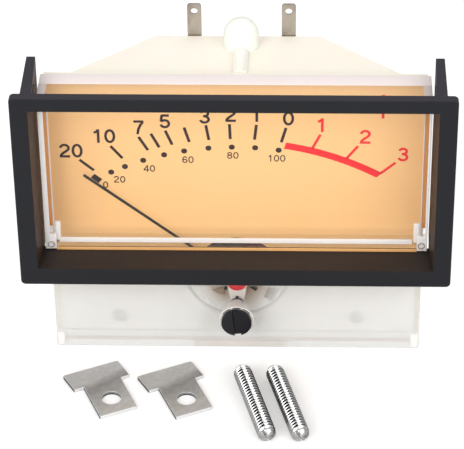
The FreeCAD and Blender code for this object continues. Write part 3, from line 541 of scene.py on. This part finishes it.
def makeDialSheet(v):  # amber sheet, paler at the middle and the top; painted shade darkens it towards the left and right, and its glow is painted light that stands for the lamp, with the base colour dimmed evenly under it
    material, tree, shader = startMaterial("dialSheet")
    skin = placeSkin(tree, shader, mouldSkin, {
        "Colour": tone(250, 200, 137), "Shade": tone(248, 196, 132), "Cloud": 25.0,
        "Grain": 3000.0, "Rough": 0.42, "Spread": 0.06}, (0.04, 0.02))
    place = objectPlace(tree)
    # painted shade towards the left and right edges of the sheet
    away = math2(tree, "MULTIPLY", math2(tree, "ABSOLUTE", place["X"], 0.0), 1 / v["half"])
    side = math2(tree, "MULTIPLY", math2(tree, "POWER", away, 2.2), v["edgeShare"])
    paintedEdgeShade = mixColour(tree, side, skin.outputs["Colour"], v["edge"])
    rise = tree.nodes.new("ShaderNodeMapRange")
    rise.inputs["From Min"].default_value = v["topFrom"]
    rise.inputs["From Max"].default_value = v["topFull"]
    tree.links.new(place["Z"], rise.inputs["Value"])
    high = math2(tree, "MULTIPLY", rise.outputs["Result"], v["topShare"])
    pale = mixColour(tree, high, paintedEdgeShade, v["top"])
    # base colour dimmed evenly under the painted glow; the glow below is painted light
    tree.links.new(mixColour(tree, 1.0, pale, v["dimUnderGlow"], "MULTIPLY"),
                   shader.inputs["Base Color"])
    tree.links.new(pale, shader.inputs["Emission Color"])
    shader.inputs["Emission Strength"].default_value = v["glow"]
    shader.inputs["Subsurface Weight"].default_value = 0.15
    shader.inputs["Subsurface Scale"].default_value = 0.001
    return material


dialSheet = makeDialSheet(dialLooksAndPaintedLight)
chamberMould = makeChamber(chamberShade)
threadSteel = makeThreadSteel(threadValues)
needlePaint = makeNeedlePaint()

finishes = {
    "bezel_frame": blackMould, "clear_cover": clearStyrene, "rear_case": creamMould,
    "lamp_cap": milkMould, "lamp": lampGlass, "lamp_holder": holderMould,
    "dial_plate": dialSheet, "dial_carrier": whiteMould, "carrier_screws": brightZinc,
    "magnet_core": magnetSkin, "yoke_ring": softIron, "core_spacers": turnedBrass,
    "movement_frame": chamberMould, "movement_plate": greyMould, "movement_screws": brightZinc,
    "front_bridge": thinSheet, "bridge_posts": turnedBrass, "rear_bridge": thinSheet,
    "front_jewel_screw": redLacquer, "rear_jewel_screw": turnedBrass, "coil_bobbin": thinSheet,
    "coil_winding": copperTurns, "pointer_hub": turnedBrass, "rear_hub": turnedBrass,
    "front_pivot": hardSteel, "rear_pivot": hardSteel, "pointer": needlePaint,
    "balance_weights": turnedBrass, "zero_lever": leverPlastic, "zero_adjuster": glossBlack,
    "pointer_stops": hardSteel, "front_hairspring": bronzeStrip, "rear_hairspring": bronzeStrip,
    "left_tag": tinPlate, "right_tag": tinPlate, "terminal_screws": brightZinc,
    "terminal_nuts": turnedBrass, "clamp_plates": tinPlate, "set_screws": brightZinc,
}
for name, material in finishes.items():
    slots = nodes[name].data.materials
    slots.clear()
    slots.append(material)
print("CAD nodes finished")


def addPiece(name, mesh, material, body, smooth=False, place=None):
    piece = linked(name, mesh)
    if place:
        piece.matrix_world = place
    piece.data.materials.clear()
    piece.data.materials.append(material)
    for face in piece.data.polygons:
        face.use_smooth = smooth
    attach(piece, body)
    return piece


def turnsOf(count):
    return [i * math.tau / count for i in range(count)]


def joinRings(mesh, near, far):
    for a, b, c, d in zip(near, near[1:] + near[:1], far[1:] + far[:1], far):
        mesh.faces.new((a, b, c, d))


def finishMesh(name, mesh, material, smooth=False):
    bmesh.ops.recalc_face_normals(mesh, faces=mesh.faces)
    data = bpy.data.meshes.new(name)
    mesh.to_mesh(data)
    mesh.free()
    addPiece(name, data, material, "meter_body", smooth)


def finalMesh(holder):  # what an object's curve or modifiers come to
    bpy.context.view_layer.update()
    seen = bpy.context.evaluated_depsgraph_get()
    mesh = bpy.data.meshes.new_from_object(holder.evaluated_get(seen))
    bpy.data.objects.remove(holder)
    return mesh


# printed scale, laid out about the pointer's axis on the dial's front
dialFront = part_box("dial_plate")[0].y
scaleValues = {
    "inkThick": 0.06 * mm, "inkSink": 0.002 * mm, "inkLayer": 0.004 * mm,
    "dotArc": (-11.0, 84.8), "tickIn": (-12.5, 89.3), "tickOut": (-13.6, 95.9),
    "bandInner": 87.1, "bandOuter": 89.5, "bandFrom": 17.1, "bandTo": 49.1,
    "blackTicks": (-48.1, -38.5, -29.9, -26.1, -21.7, -15.9, -9.2, -1.9, 6.4, 15.5),
    "redTicks": (26.0, 37.4, 48.8), "blackWide": 0.92, "redWide": 0.85,
    "dots": (-44.9, -40.0, -33.5, -26.0, -18.8, -10.0, -1.5, 7.0, 15.5), "dotRound": 0.95,
    "dashAt": (-44.1, 61.7), "dashTurn": -50.0, "dashLong": 3.1, "dashWide": 1.9,
    "bigBlack": {"20": (-51.7, 72.1), "10": (-41.0, 77.6), "7": (-30.2, 80.9), "5": (-22.0, 83.2),
                 "3": (-9.6, 85.0), "2": (-1.5, 85.7), "1": (6.0, 85.7), "0": (16.4, 84.5)},
    "bigRed": {"1": (26.3, 82.1), "2": (40.3, 77.9), "3": (52.2, 71.4)},
    "small": {"0": (-41.3, 59.3), "20": (-36.8, 61.4), "40": (-27.3, 65.6), "60": (-15.1, 69.0),
              "80": (-1.0, 70.7), "100": (12.8, 69.7)},
    "bigTall": 5.0, "smallTall": 2.5, "bigWeight": 0.165, "smallWeight": 0.135,
    "onePlace": 45.6, "signHeight": 89.4, "signLong": 6.3, "signLow": 84.7, "signTop": 93.3,
    "signWide": 0.85, "dotSteps": 28, "bandSteps": 40, "tickOverlap": 0.3,
    "numeralPitch": 0.777, "numeralWide": 0.7, "oneLeft": 0.1, "oneRight": 0.48,
}


def onArc(angle, arc):  # where a ray from the pivot at that angle meets an arc, in millimetres
    centre, radius = arc
    turn = math.radians(angle)
    drop = pivotHeight / mm - centre
    ahead = -drop * math.cos(turn) + math.sqrt(radius ** 2 - (drop * math.sin(turn)) ** 2)
    return Vector((ahead * math.sin(turn), pivotHeight / mm + ahead * math.cos(turn)))


def printShape(mesh, outline):  # a closed outline in the dial plane, raised by the ink's thickness
    front = dialFront - scaleValues["inkThick"]
    foot = dialFront - scaleValues["inkSink"]
    base = [mesh.verts.new((x * mm, foot, z * mm)) for x, z in outline]
    top = [mesh.verts.new((x * mm, front, z * mm)) for x, z in outline]
    mesh.faces.new(base[::-1])
    mesh.faces.new(top)
    joinRings(mesh, base, top)


def bar(start, end, wide):
    along = (end - start).normalized()
    across = Vector((-along.y, along.x)) * wide / 2
    return [start - across, end - across, end + across, start + across]


def makeScale(v):
    ticks = bmesh.new()
    for angle in v["blackTicks"]:
        printShape(ticks, bar(onArc(angle, v["tickIn"]), onArc(angle, v["tickOut"]), v["blackWide"]))
    dash = Vector(v["dashAt"])
    turn = math.radians(v["dashTurn"])
    reach = Vector((math.sin(turn), math.cos(turn))) * v["dashLong"] / 2
    printShape(ticks, bar(dash - reach, dash + reach, v["dashWide"]))
    side = Vector((-v["onePlace"], v["signHeight"]))
    half = Vector((v["signLong"] / 2, 0))
    printShape(ticks, bar(side - half, side + half, v["signWide"]))
    finishMesh("scale_ticks", ticks, inkBlack)

    dots = bmesh.new()
    for angle in v["dots"]:
        centre = onArc(angle, v["dotArc"])
        ring = [centre + Vector((math.cos(a), math.sin(a))) * v["dotRound"]
                for a in turnsOf(v["dotSteps"])]
        printShape(dots, ring)
    finishMesh("scale_dots", dots, inkBlack)

    red = bmesh.new()
    for angle in v["redTicks"]:
        printShape(red, bar(onArc(angle, (v["tickIn"][0], v["bandOuter"] - v["tickOverlap"])),
                            onArc(angle, v["tickOut"]), v["redWide"]))
    steps = v["bandSteps"]
    turns = [v["bandFrom"] + (v["bandTo"] - v["bandFrom"]) * i / steps for i in range(steps + 1)]
    outer = [onArc(a, (v["tickIn"][0], v["bandOuter"])) for a in turns]
    inner = [onArc(a, (v["tickIn"][0], v["bandInner"])) for a in turns]
    for a, b, c, d in zip(inner, inner[1:], outer[1:], outer):
        printShape(red, [a, b, c, d])
    cross = Vector((v["onePlace"], v["signHeight"]))
    printShape(red, bar(cross - half, cross + half, v["signWide"]))
    printShape(red, bar(Vector((v["onePlace"], v["signLow"])), Vector((v["onePlace"], v["signTop"])),
                        v["signWide"]))
    finishMesh("scale_red_band", red, inkRed)


def sweepArc(x, y, wide, tall, start, end, steps=18):  # part of an ellipse, angles in degrees
    turns = [math.radians(start + (end - start) * i / steps) for i in range(steps + 1)]
    return [(x + wide * math.cos(a), y + tall * math.sin(a)) for a in turns]


# each numeral as centre lines in a box one unit tall and 0.7 wide
numeralPaths = {
    "0": [sweepArc(0.35, 0.5, 0.265, 0.43, 0, 360, 36)],
    "1": [[(0.13, 0.765), (0.24, 0.785), (0.33, 0.85), (0.375, 0.93)], [(0.405, 1.0), (0.405, 0.0)]],
    "2": [sweepArc(0.345, 0.7, 0.255, 0.225, 178, -20) + [(0.5, 0.51), (0.27, 0.34), (0.13, 0.2),
                                                        (0.085, 0.07)],
          [(0.02, 0.07), (0.67, 0.07)]],
    "3": [sweepArc(0.34, 0.73, 0.225, 0.195, 168, -88) + [(0.26, 0.535)],
          sweepArc(0.34, 0.295, 0.26, 0.225, 92, -168)],
    "4": [[(0.50, 0.93), (0.07, 0.305)], [(0.03, 0.27), (0.7, 0.27)], [(0.505, 1.0), (0.505, 0.0)]],
    "5": [[(0.62, 0.925), (0.17, 0.925)], [(0.175, 0.96), (0.11, 0.47)],
          sweepArc(0.345, 0.325, 0.26, 0.255, 145, -165)],
    "6": [sweepArc(0.36, 0.305, 0.255, 0.235, 0, 360, 30),
          sweepArc(0.375, 0.5, 0.275, 0.43, 38, 205)],
    "7": [[(0.04, 0.93), (0.66, 0.93)], [(0.625, 0.9), (0.46, 0.66), (0.33, 0.36), (0.275, 0.0)]],
    "8": [sweepArc(0.35, 0.73, 0.225, 0.195, 0, 360, 30),
          sweepArc(0.35, 0.295, 0.26, 0.225, 0, 360, 30)],
}


def stroke(mesh, path, wide, level):  # a line of even width laid along a path, in millimetres
    closed = (Vector(path[0]) - Vector(path[-1])).length < 1e-6
    points = [Vector(p) for p in (path[:-1] if closed else path)]
    count = len(points)
    sides = []
    for i, point in enumerate(points):
        before = points[i - 1] if closed or i else point
        after = points[(i + 1) % count] if closed or i < count - 1 else point
        steps = [v.normalized() for v in (point - before, after - point) if v.length > 1e-9]
        along = sum(steps, Vector((0, 0))).normalized()
        reach = wide / 2 / max(0.5, along.dot(steps[0]))
        across = Vector((-along.y, along.x)) * reach
        sides.append((point + across, point - across))
    levels = (dialFront - scaleValues["inkSink"], dialFront - scaleValues["inkThick"] - level)
    rows = [[mesh.verts.new((p.x * mm, y, p.y * mm)) for p in pair for y in levels] for pair in sides]
    spans = list(zip(rows, rows[1:] + rows[:1])) if closed else list(zip(rows, rows[1:]))
    for near, far in spans:
        for a, b in ((0, 1), (1, 3), (3, 2), (2, 0)):
            mesh.faces.new((near[a], near[b], far[b], far[a]))
    if not closed:
        for row in (rows[0], rows[-1]):
            mesh.faces.new((row[0], row[1], row[3], row[2]))


def placeNumeral(mesh, text, centre, tall, weight):
    v = scaleValues
    pitch = v["numeralPitch"]
    left = {"1": v["oneLeft"]}.get(text[0], 0.0)
    right = pitch * (len(text) - 1) + {"1": v["oneRight"]}.get(text[-1], v["numeralWide"])
    for place, digit in enumerate(text):
        for level, path in enumerate(numeralPaths[digit]):
            moved = [((x + place * pitch - (left + right) / 2) * tall + centre[0],
                      (y - 0.5) * tall + centre[1]) for x, y in path]
            stroke(mesh, moved, weight * tall, level * v["inkLayer"])


def makeNumerals(v):
    groups = (("numerals_black", v["bigBlack"], v["bigTall"], v["bigWeight"], inkBlack),
              ("numerals_small", v["small"], v["smallTall"], v["smallWeight"], inkBlack),
              ("numerals_red", v["bigRed"], v["bigTall"], v["bigWeight"], inkRed))
    for name, entries, tall, weight, ink in groups:
        mesh = bmesh.new()
        for text, centre in entries.items():
            placeNumeral(mesh, text, centre, tall, weight)
        finishMesh(name, mesh, ink)


makeScale(scaleValues)
makeNumerals(scaleValues)
print("scale printed")

# loose set screws with real threads, and clamp plates with broken edges
screwValues = {"long": 35.0, "round": 3.0, "pitch": 1.3, "deep": 0.6, "stepsPerTurn": 10,
               "around": 40, "dome": 2.4, "slotWide": 0.9, "slotDeep": 1.5, "slotTurn": -53.0,
               "turn": 15.2, "left": 1.6, "back": -30.9, "step": 10.4, "domeCut": 0.85,
               "grooveFlat": 1.15, "grooveSlope": 1.3, "slotPast": 2, "sharp": 40}


def threadedRod(v):
    rings = int(v["long"] / v["pitch"] * v["stepsPerTurn"])
    mesh = bmesh.new()
    rows = []
    for i in range(rings + 1):
        place = v["long"] * i / rings
        end = min(place, v["long"] - place)
        drop = max(0.0, v["dome"] - end) / v["dome"]
        limit = v["round"] * math.sqrt(1 - v["domeCut"] * drop ** 2)
        row = []
        for j in range(v["around"]):
            turn = math.tau * j / v["around"]
            phase = (place / v["pitch"] - j / v["around"]) % 1.0
            flank = v["grooveFlat"] - abs(phase * 2 - 1) * v["grooveSlope"]
            groove = v["deep"] * min(1.0, max(0.0, flank))
            radius = min(limit, v["round"] - groove)
            row.append(mesh.verts.new((radius * math.cos(turn), radius * math.sin(turn), place)))
        rows.append(row)
    for low, high in zip(rows, rows[1:]):
        joinRings(mesh, low, high)
    mesh.faces.new(rows[0][::-1])
    mesh.faces.new(rows[-1])
    return mesh


def makeScrews(v):
    tool = bmesh.new()
    bmesh.ops.create_cube(tool, size=1.0)
    across = v["round"] * 2 + v["slotPast"]
    bmesh.ops.scale(tool, vec=(across, v["slotWide"], v["slotDeep"] * 2), verts=tool.verts)
    bmesh.ops.translate(tool, vec=(0, 0, v["long"]), verts=tool.verts)
    bmesh.ops.rotate(tool, matrix=Matrix.Rotation(math.radians(v["slotTurn"]), 3, "Z"),
                     verts=tool.verts)
    toolData = bpy.data.meshes.new("slotTool")
    tool.to_mesh(toolData)
    toolObject = linked("slotTool", toolData)
    for number in range(2):
        data = bpy.data.meshes.new("setScrew")
        rod = threadedRod(v)
        rod.to_mesh(data)
        rod.free()
        screw = linked("setScrew", data)
        carve = screw.modifiers.new("slot", "BOOLEAN")
        carve.object = toolObject
        carve.operation = "DIFFERENCE"
        carve.solver = "EXACT"
        cut = finalMesh(screw)
        lay = Matrix.Rotation(math.radians(v["turn"]), 4, "Z") @ Matrix.Rotation(math.pi / 2, 4, "X")
        cut.transform(Matrix.Scale(mm, 4))
        place = Vector((v["left"] + number * v["step"], v["back"], v["round"])) * mm
        piece = addPiece(f"set_screw_{number}", cut, threadSteel, "meter_body", True,
                         Matrix.Translation(place) @ lay)
        piece.data.set_sharp_from_angle(angle=math.radians(v["sharp"]))
        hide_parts("set_screws")
    bpy.data.objects.remove(toolObject)


clampValues = {"outline": [(0, 0), (19, 0), (19.7, -8.6), (16.6, -8.7), (15.9, -24.4), (3.3, -24.4),
                           (4.0, -8.4), (0.75, -8.5)],
               "thick": 1.3, "hole": 3.1, "holeRight": 10.0, "holeDown": 17.1, "turn": 25.6,
               "left": -55.8, "back": -33.0, "step": 23.9, "corner": 0.55, "edge": 0.2, "around": 48}
clampSteel = makeClampSteel(clampLooksAndPaintedLight, [clampValues[key] for key in ("holeRight", "holeDown", "hole")])


def roundCorners(points, reach):
    made = []
    for before, corner, after in zip(points[-1:] + points[:-1], points, points[1:] + points[:1]):
        corner = Vector(corner)
        start = corner + (Vector(before) - corner).normalized() * reach
        end = corner + (Vector(after) - corner).normalized() * reach
        for share in (0.0, 0.25, 0.5, 0.75, 1.0):
            made.append(start.lerp(corner, share).lerp(corner.lerp(end, share), share))
    return made


def makeClamps(v):
    outline = roundCorners(v["outline"], v["corner"])
    for number in range(2):
        curve = bpy.data.curves.new("clamp", "CURVE")
        curve.dimensions = "2D"
        curve.fill_mode = "BOTH"
        curve.extrude = v["thick"] / 2 - v["edge"]
        curve.bevel_depth = v["edge"]
        curve.bevel_resolution = 2
        curve.offset = -v["edge"]
        edge = curve.splines.new("POLY")
        edge.points.add(len(outline) - 1)
        for point, (x, y) in zip(edge.points, outline):
            point.co = (x, y, 0, 1)
        edge.use_cyclic_u = True
        ring = curve.splines.new("POLY")
        ring.points.add(v["around"] - 1)
        for i, point in enumerate(ring.points):
            turn = -math.tau * i / v["around"]
            point.co = (v["holeRight"] + v["hole"] * math.cos(turn),
                        -v["holeDown"] + v["hole"] * math.sin(turn), 0, 1)
        ring.use_cyclic_u = True
        mesh = finalMesh(linked("clamp", curve))
        put = (Matrix.Translation(Vector((v["left"] + number * v["step"], v["back"], v["thick"] / 2)))
               @ Matrix.Rotation(math.radians(v["turn"]), 4, "Z"))
        mesh.transform(Matrix.Scale(mm, 4))
        put.translation = put.translation * mm
        piece = addPiece(f"clamp_plate_{number}", mesh, clampSteel, "meter_body",
                         False, put)
        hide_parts("clamp_plates")


makeScrews(screwValues)
makeClamps(clampValues)
print("loose kit made")

# edges, corner lugs and pegs of the clear cover; the white bars are painted highlights, the dim ones
# fainter painted highlights, the pegs painted shade, and the amber bars stand for the dial's light in
# them
coverValues = {
    "edge": 0.12, "lugEdge": 0.7, "edgeShare": 0.45, "edgeSteps": 3,
    "bars": {  # low and high corner in millimetres, and the finish
        "cover_sill": ((-55.7, -19.35, 44.3), (55.4, -18.9, 46.1), "paintedHighlight"),
        "cover_lip": ((-58.6, -21.15, 42.1), (58.9, -20.9, 42.5), "paintedHighlight"),
        "cover_glow_foot": ((-56.6, -20.9, 42.5), (56.9, -20.7, 43.6), "amberLight"),
        "cover_side_left": ((-60.05, -21.15, 43.0), (-58.45, -20.5, 98.0), "paintedHighlight"),
        "cover_side_right": ((59.35, -21.15, 43.0), (60.05, -20.5, 98.0), "paintedHighlight"),
        "cover_glow_left": ((-58.4, -20.75, 51.5), (-57.4, -20.5, 98.0), "amberEdge"),
        "cover_glow_right": ((58.15, -20.75, 51.5), (59.3, -20.5, 98.0), "amberEdge"),
        "cover_line_left": ((-57.35, -20.75, 47.5), (-56.95, -20.5, 98.0), "dimPaintedHighlight"),
        "cover_line_right": ((57.75, -20.75, 47.5), (58.1, -20.5, 98.0), "dimPaintedHighlight"),
        "cover_lug_left": ((-57.3, -19.35, 45.0), (-55.2, -18.4, 52.2), "paintedHighlight"),
        "cover_lug_right": ((55.8, -19.35, 44.8), (57.9, -18.4, 52.2), "paintedHighlight"),
        "cover_corner_left": ((-60.0, -20.95, 42.9), (-56.6, -19.5, 48.4), "paintedHighlight"),
        "cover_corner_right": ((56.9, -20.95, 42.9), (60.0, -19.5, 48.4), "paintedHighlight"),
        "cover_top_left": ((-60.05, -20.9, 98.8), (-57.6, -12.75, 99.05), "dimPaintedHighlight"),
        "cover_top_right": ((57.6, -20.9, 98.8), (60.05, -12.75, 99.05), "dimPaintedHighlight"),
        "cover_top_rear": ((-60.0, -12.7, 98.8), (60.0, -7.05, 99.05), "pinkWhite"),
        "foot_lug_left": ((-58.8, -15.4, 0.1), (-56.4, -14.2, 5.0), "paintedHighlight"),
        "foot_lug_right": ((56.2, -15.4, 0.1), (58.8, -14.2, 5.0), "paintedHighlight"),
        "foot_rib": ((-56.0, -15.3, 2.7), (56.0, -14.6, 3.3), "footShade"),
        "foot_tab": ((-13.9, -15.42, 0.1), (15.2, -14.8, 2.5), "footShade"),
    },
    "pegs": {"cover_peg_left": (-58.2, 44.6), "cover_peg_right": (58.3, 44.9)},
    "pegRound": 1.15, "pegHole": 0.72, "pegSteps": 32, "pegFront": -21.15, "pegRear": -20.9,
}


def softBox(low, high, edge, v):
    mesh = bmesh.new()
    bmesh.ops.create_cube(mesh, size=1.0)
    size = Vector(high) - Vector(low)
    bmesh.ops.scale(mesh, vec=size, verts=mesh.verts)
    bmesh.ops.translate(mesh, vec=(Vector(high) + Vector(low)) / 2, verts=mesh.verts)
    bmesh.ops.bevel(mesh, geom=mesh.edges, offset=min(edge, min(size) * v["edgeShare"]),
                    segments=v["edgeSteps"], affect="EDGES", profile=0.5)
    return mesh


def makeCoverDetails(v):
    finish = {"paintedHighlight": paintedHighlight, "dimPaintedHighlight": dimPaintedHighlight, "amberEdge": amberEdge,
              "amberLight": amberLight, "pinkWhite": pinkWhite, "footShade": footShade}
    for name, (low, high, look) in v["bars"].items():
        mesh = softBox(low, high, v["lugEdge"] if "lug" in name else v["edge"], v)
        bmesh.ops.scale(mesh, vec=(mm, mm, mm), verts=mesh.verts)
        finishMesh(name, mesh, finish[look], True)
    # pegs coloured with painted shade
    for name, (x, z) in v["pegs"].items():
        mesh = bmesh.new()
        outer, inner = v["pegRound"], v["pegRound"] * v["pegHole"]
        rings = []
        for radius, y in ((outer, v["pegRear"]), (outer, v["pegFront"]), (inner, v["pegFront"]),
                          (inner, v["pegRear"])):
            rings.append([mesh.verts.new(((x + radius * math.cos(a)) * mm, y * mm,
                                          (z + radius * math.sin(a)) * mm))
                          for a in turnsOf(v["pegSteps"])])
        for near, far in zip(rings, rings[1:] + rings[:1]):
            joinRings(mesh, near, far)
        finishMesh(name, mesh, paintedPegShade, True)


# painted highlights and a painted reflection of the adjuster's black head, laid as rods in the clear
# collar round it
bossValues = {  # each arc: radius, rod radius, start and end in degrees
    "front": -22.95, "white": (5.5, 0.12, 0, 360), "whiteLow": (5.0, 0.07, 160, 380),
    "dark": [(5.12, 0.17, 34, 66), (5.12, 0.2, 76, 104), (5.12, 0.17, 114, 148)],
    "degreesPerStep": 5, "leastSteps": 8, "around": 10,
}
leadValues = {"front": -8.1, "rear": -7.75,
              "right": [(8.6, 14.8), (9.9, 18.5), (13.4, 18.1), (11.2, 13.2)],
              "left": [(-8.4, 17.5), (-4.4, 18.6), (-4.2, 15.6), (-6.6, 16.2)]}


def arcRod(name, v, arc, material):  # round rod bent along an arc
    radius, thick, start, end = arc
    steps = max(v["leastSteps"], int(abs(end - start) / v["degreesPerStep"]))
    closed = end - start >= 360
    mesh = bmesh.new()
    rows = []
    for i in range(steps if closed else steps + 1):
        turn = math.radians(start + (end - start) * i / steps)
        rows.append([mesh.verts.new((
            (radius + thick * math.cos(a)) * math.cos(turn) * mm,
            (v["front"] + thick * math.sin(a)) * mm,
            bossHeight + (radius + thick * math.cos(a)) * math.sin(turn) * mm))
            for a in turnsOf(v["around"])])
    for near, far in zip(rows, rows[1:] + rows[:1] if closed else rows[1:]):
        joinRings(mesh, near, far)
    if not closed:
        mesh.faces.new(rows[0])
        mesh.faces.new(rows[-1][::-1])
    finishMesh(name, mesh, material, True)


def makeBossRings(v):
    arcRod("boss_highlight", v, v["white"], paintedHighlight)
    arcRod("boss_highlight_low", v, v["whiteLow"], paintedHighlight)
    # dark arcs: painted reflection of the black head
    for number, arc in enumerate(v["dark"]):
        arcRod(f"boss_painted_reflection_{number}", v, arc, glossBlack)


def makeLeads(v):  # ends of the two lead strips, seen through the lower cover
    for side, material in (("left", leadGrey), ("right", leadBronze)):
        mesh = bmesh.new()
        front, rear = ([mesh.verts.new((x * mm, v[end] * mm, z * mm)) for x, z in v[side]]
                       for end in ("front", "rear"))
        mesh.faces.new(front)
        mesh.faces.new(rear[::-1])
        joinRings(mesh, front, rear)
        finishMesh(f"lead_{side}", mesh, material)


makeBossRings(bossValues)
makeLeads(leadValues)
makeCoverDetails(coverValues)
print("cover details made")


# floor, given a little glow for the camera alone so that it shows white
floorValues = {"grey": (0.8, 0.8, 0.8, 1), "rough": 0.9, "glow": 0.32, "half": 6.0}


def makeFloor(v):
    material, tree, shader = startMaterial("studioFloor")
    shader.inputs["Base Color"].default_value = v["grey"]
    shader.inputs["Roughness"].default_value = v["rough"]
    glow = tree.nodes.new("ShaderNodeEmission")
    glow.inputs["Color"].default_value = (1, 1, 1, 1)
    path = tree.nodes.new("ShaderNodeLightPath")
    tree.links.new(math2(tree, "MULTIPLY", path.outputs["Is Camera Ray"], v["glow"]),
                   glow.inputs["Strength"])
    both = tree.nodes.new("ShaderNodeAddShader")
    for socket, lit in zip(both.inputs, (shader, glow)):
        tree.links.new(lit.outputs[0], socket)
    tree.links.new(both.outputs[0], outlet(tree))
    mesh = bpy.data.meshes.new("floor")
    corners = [(x * v["half"], y * v["half"], 0) for x, y in ((-1, -1), (1, -1), (1, 1), (-1, 1))]
    mesh.from_pydata(corners, [], [(0, 1, 2, 3)])
    floor = linked("floor", mesh)
    mesh.materials.append(material)


makeFloor(floorValues)
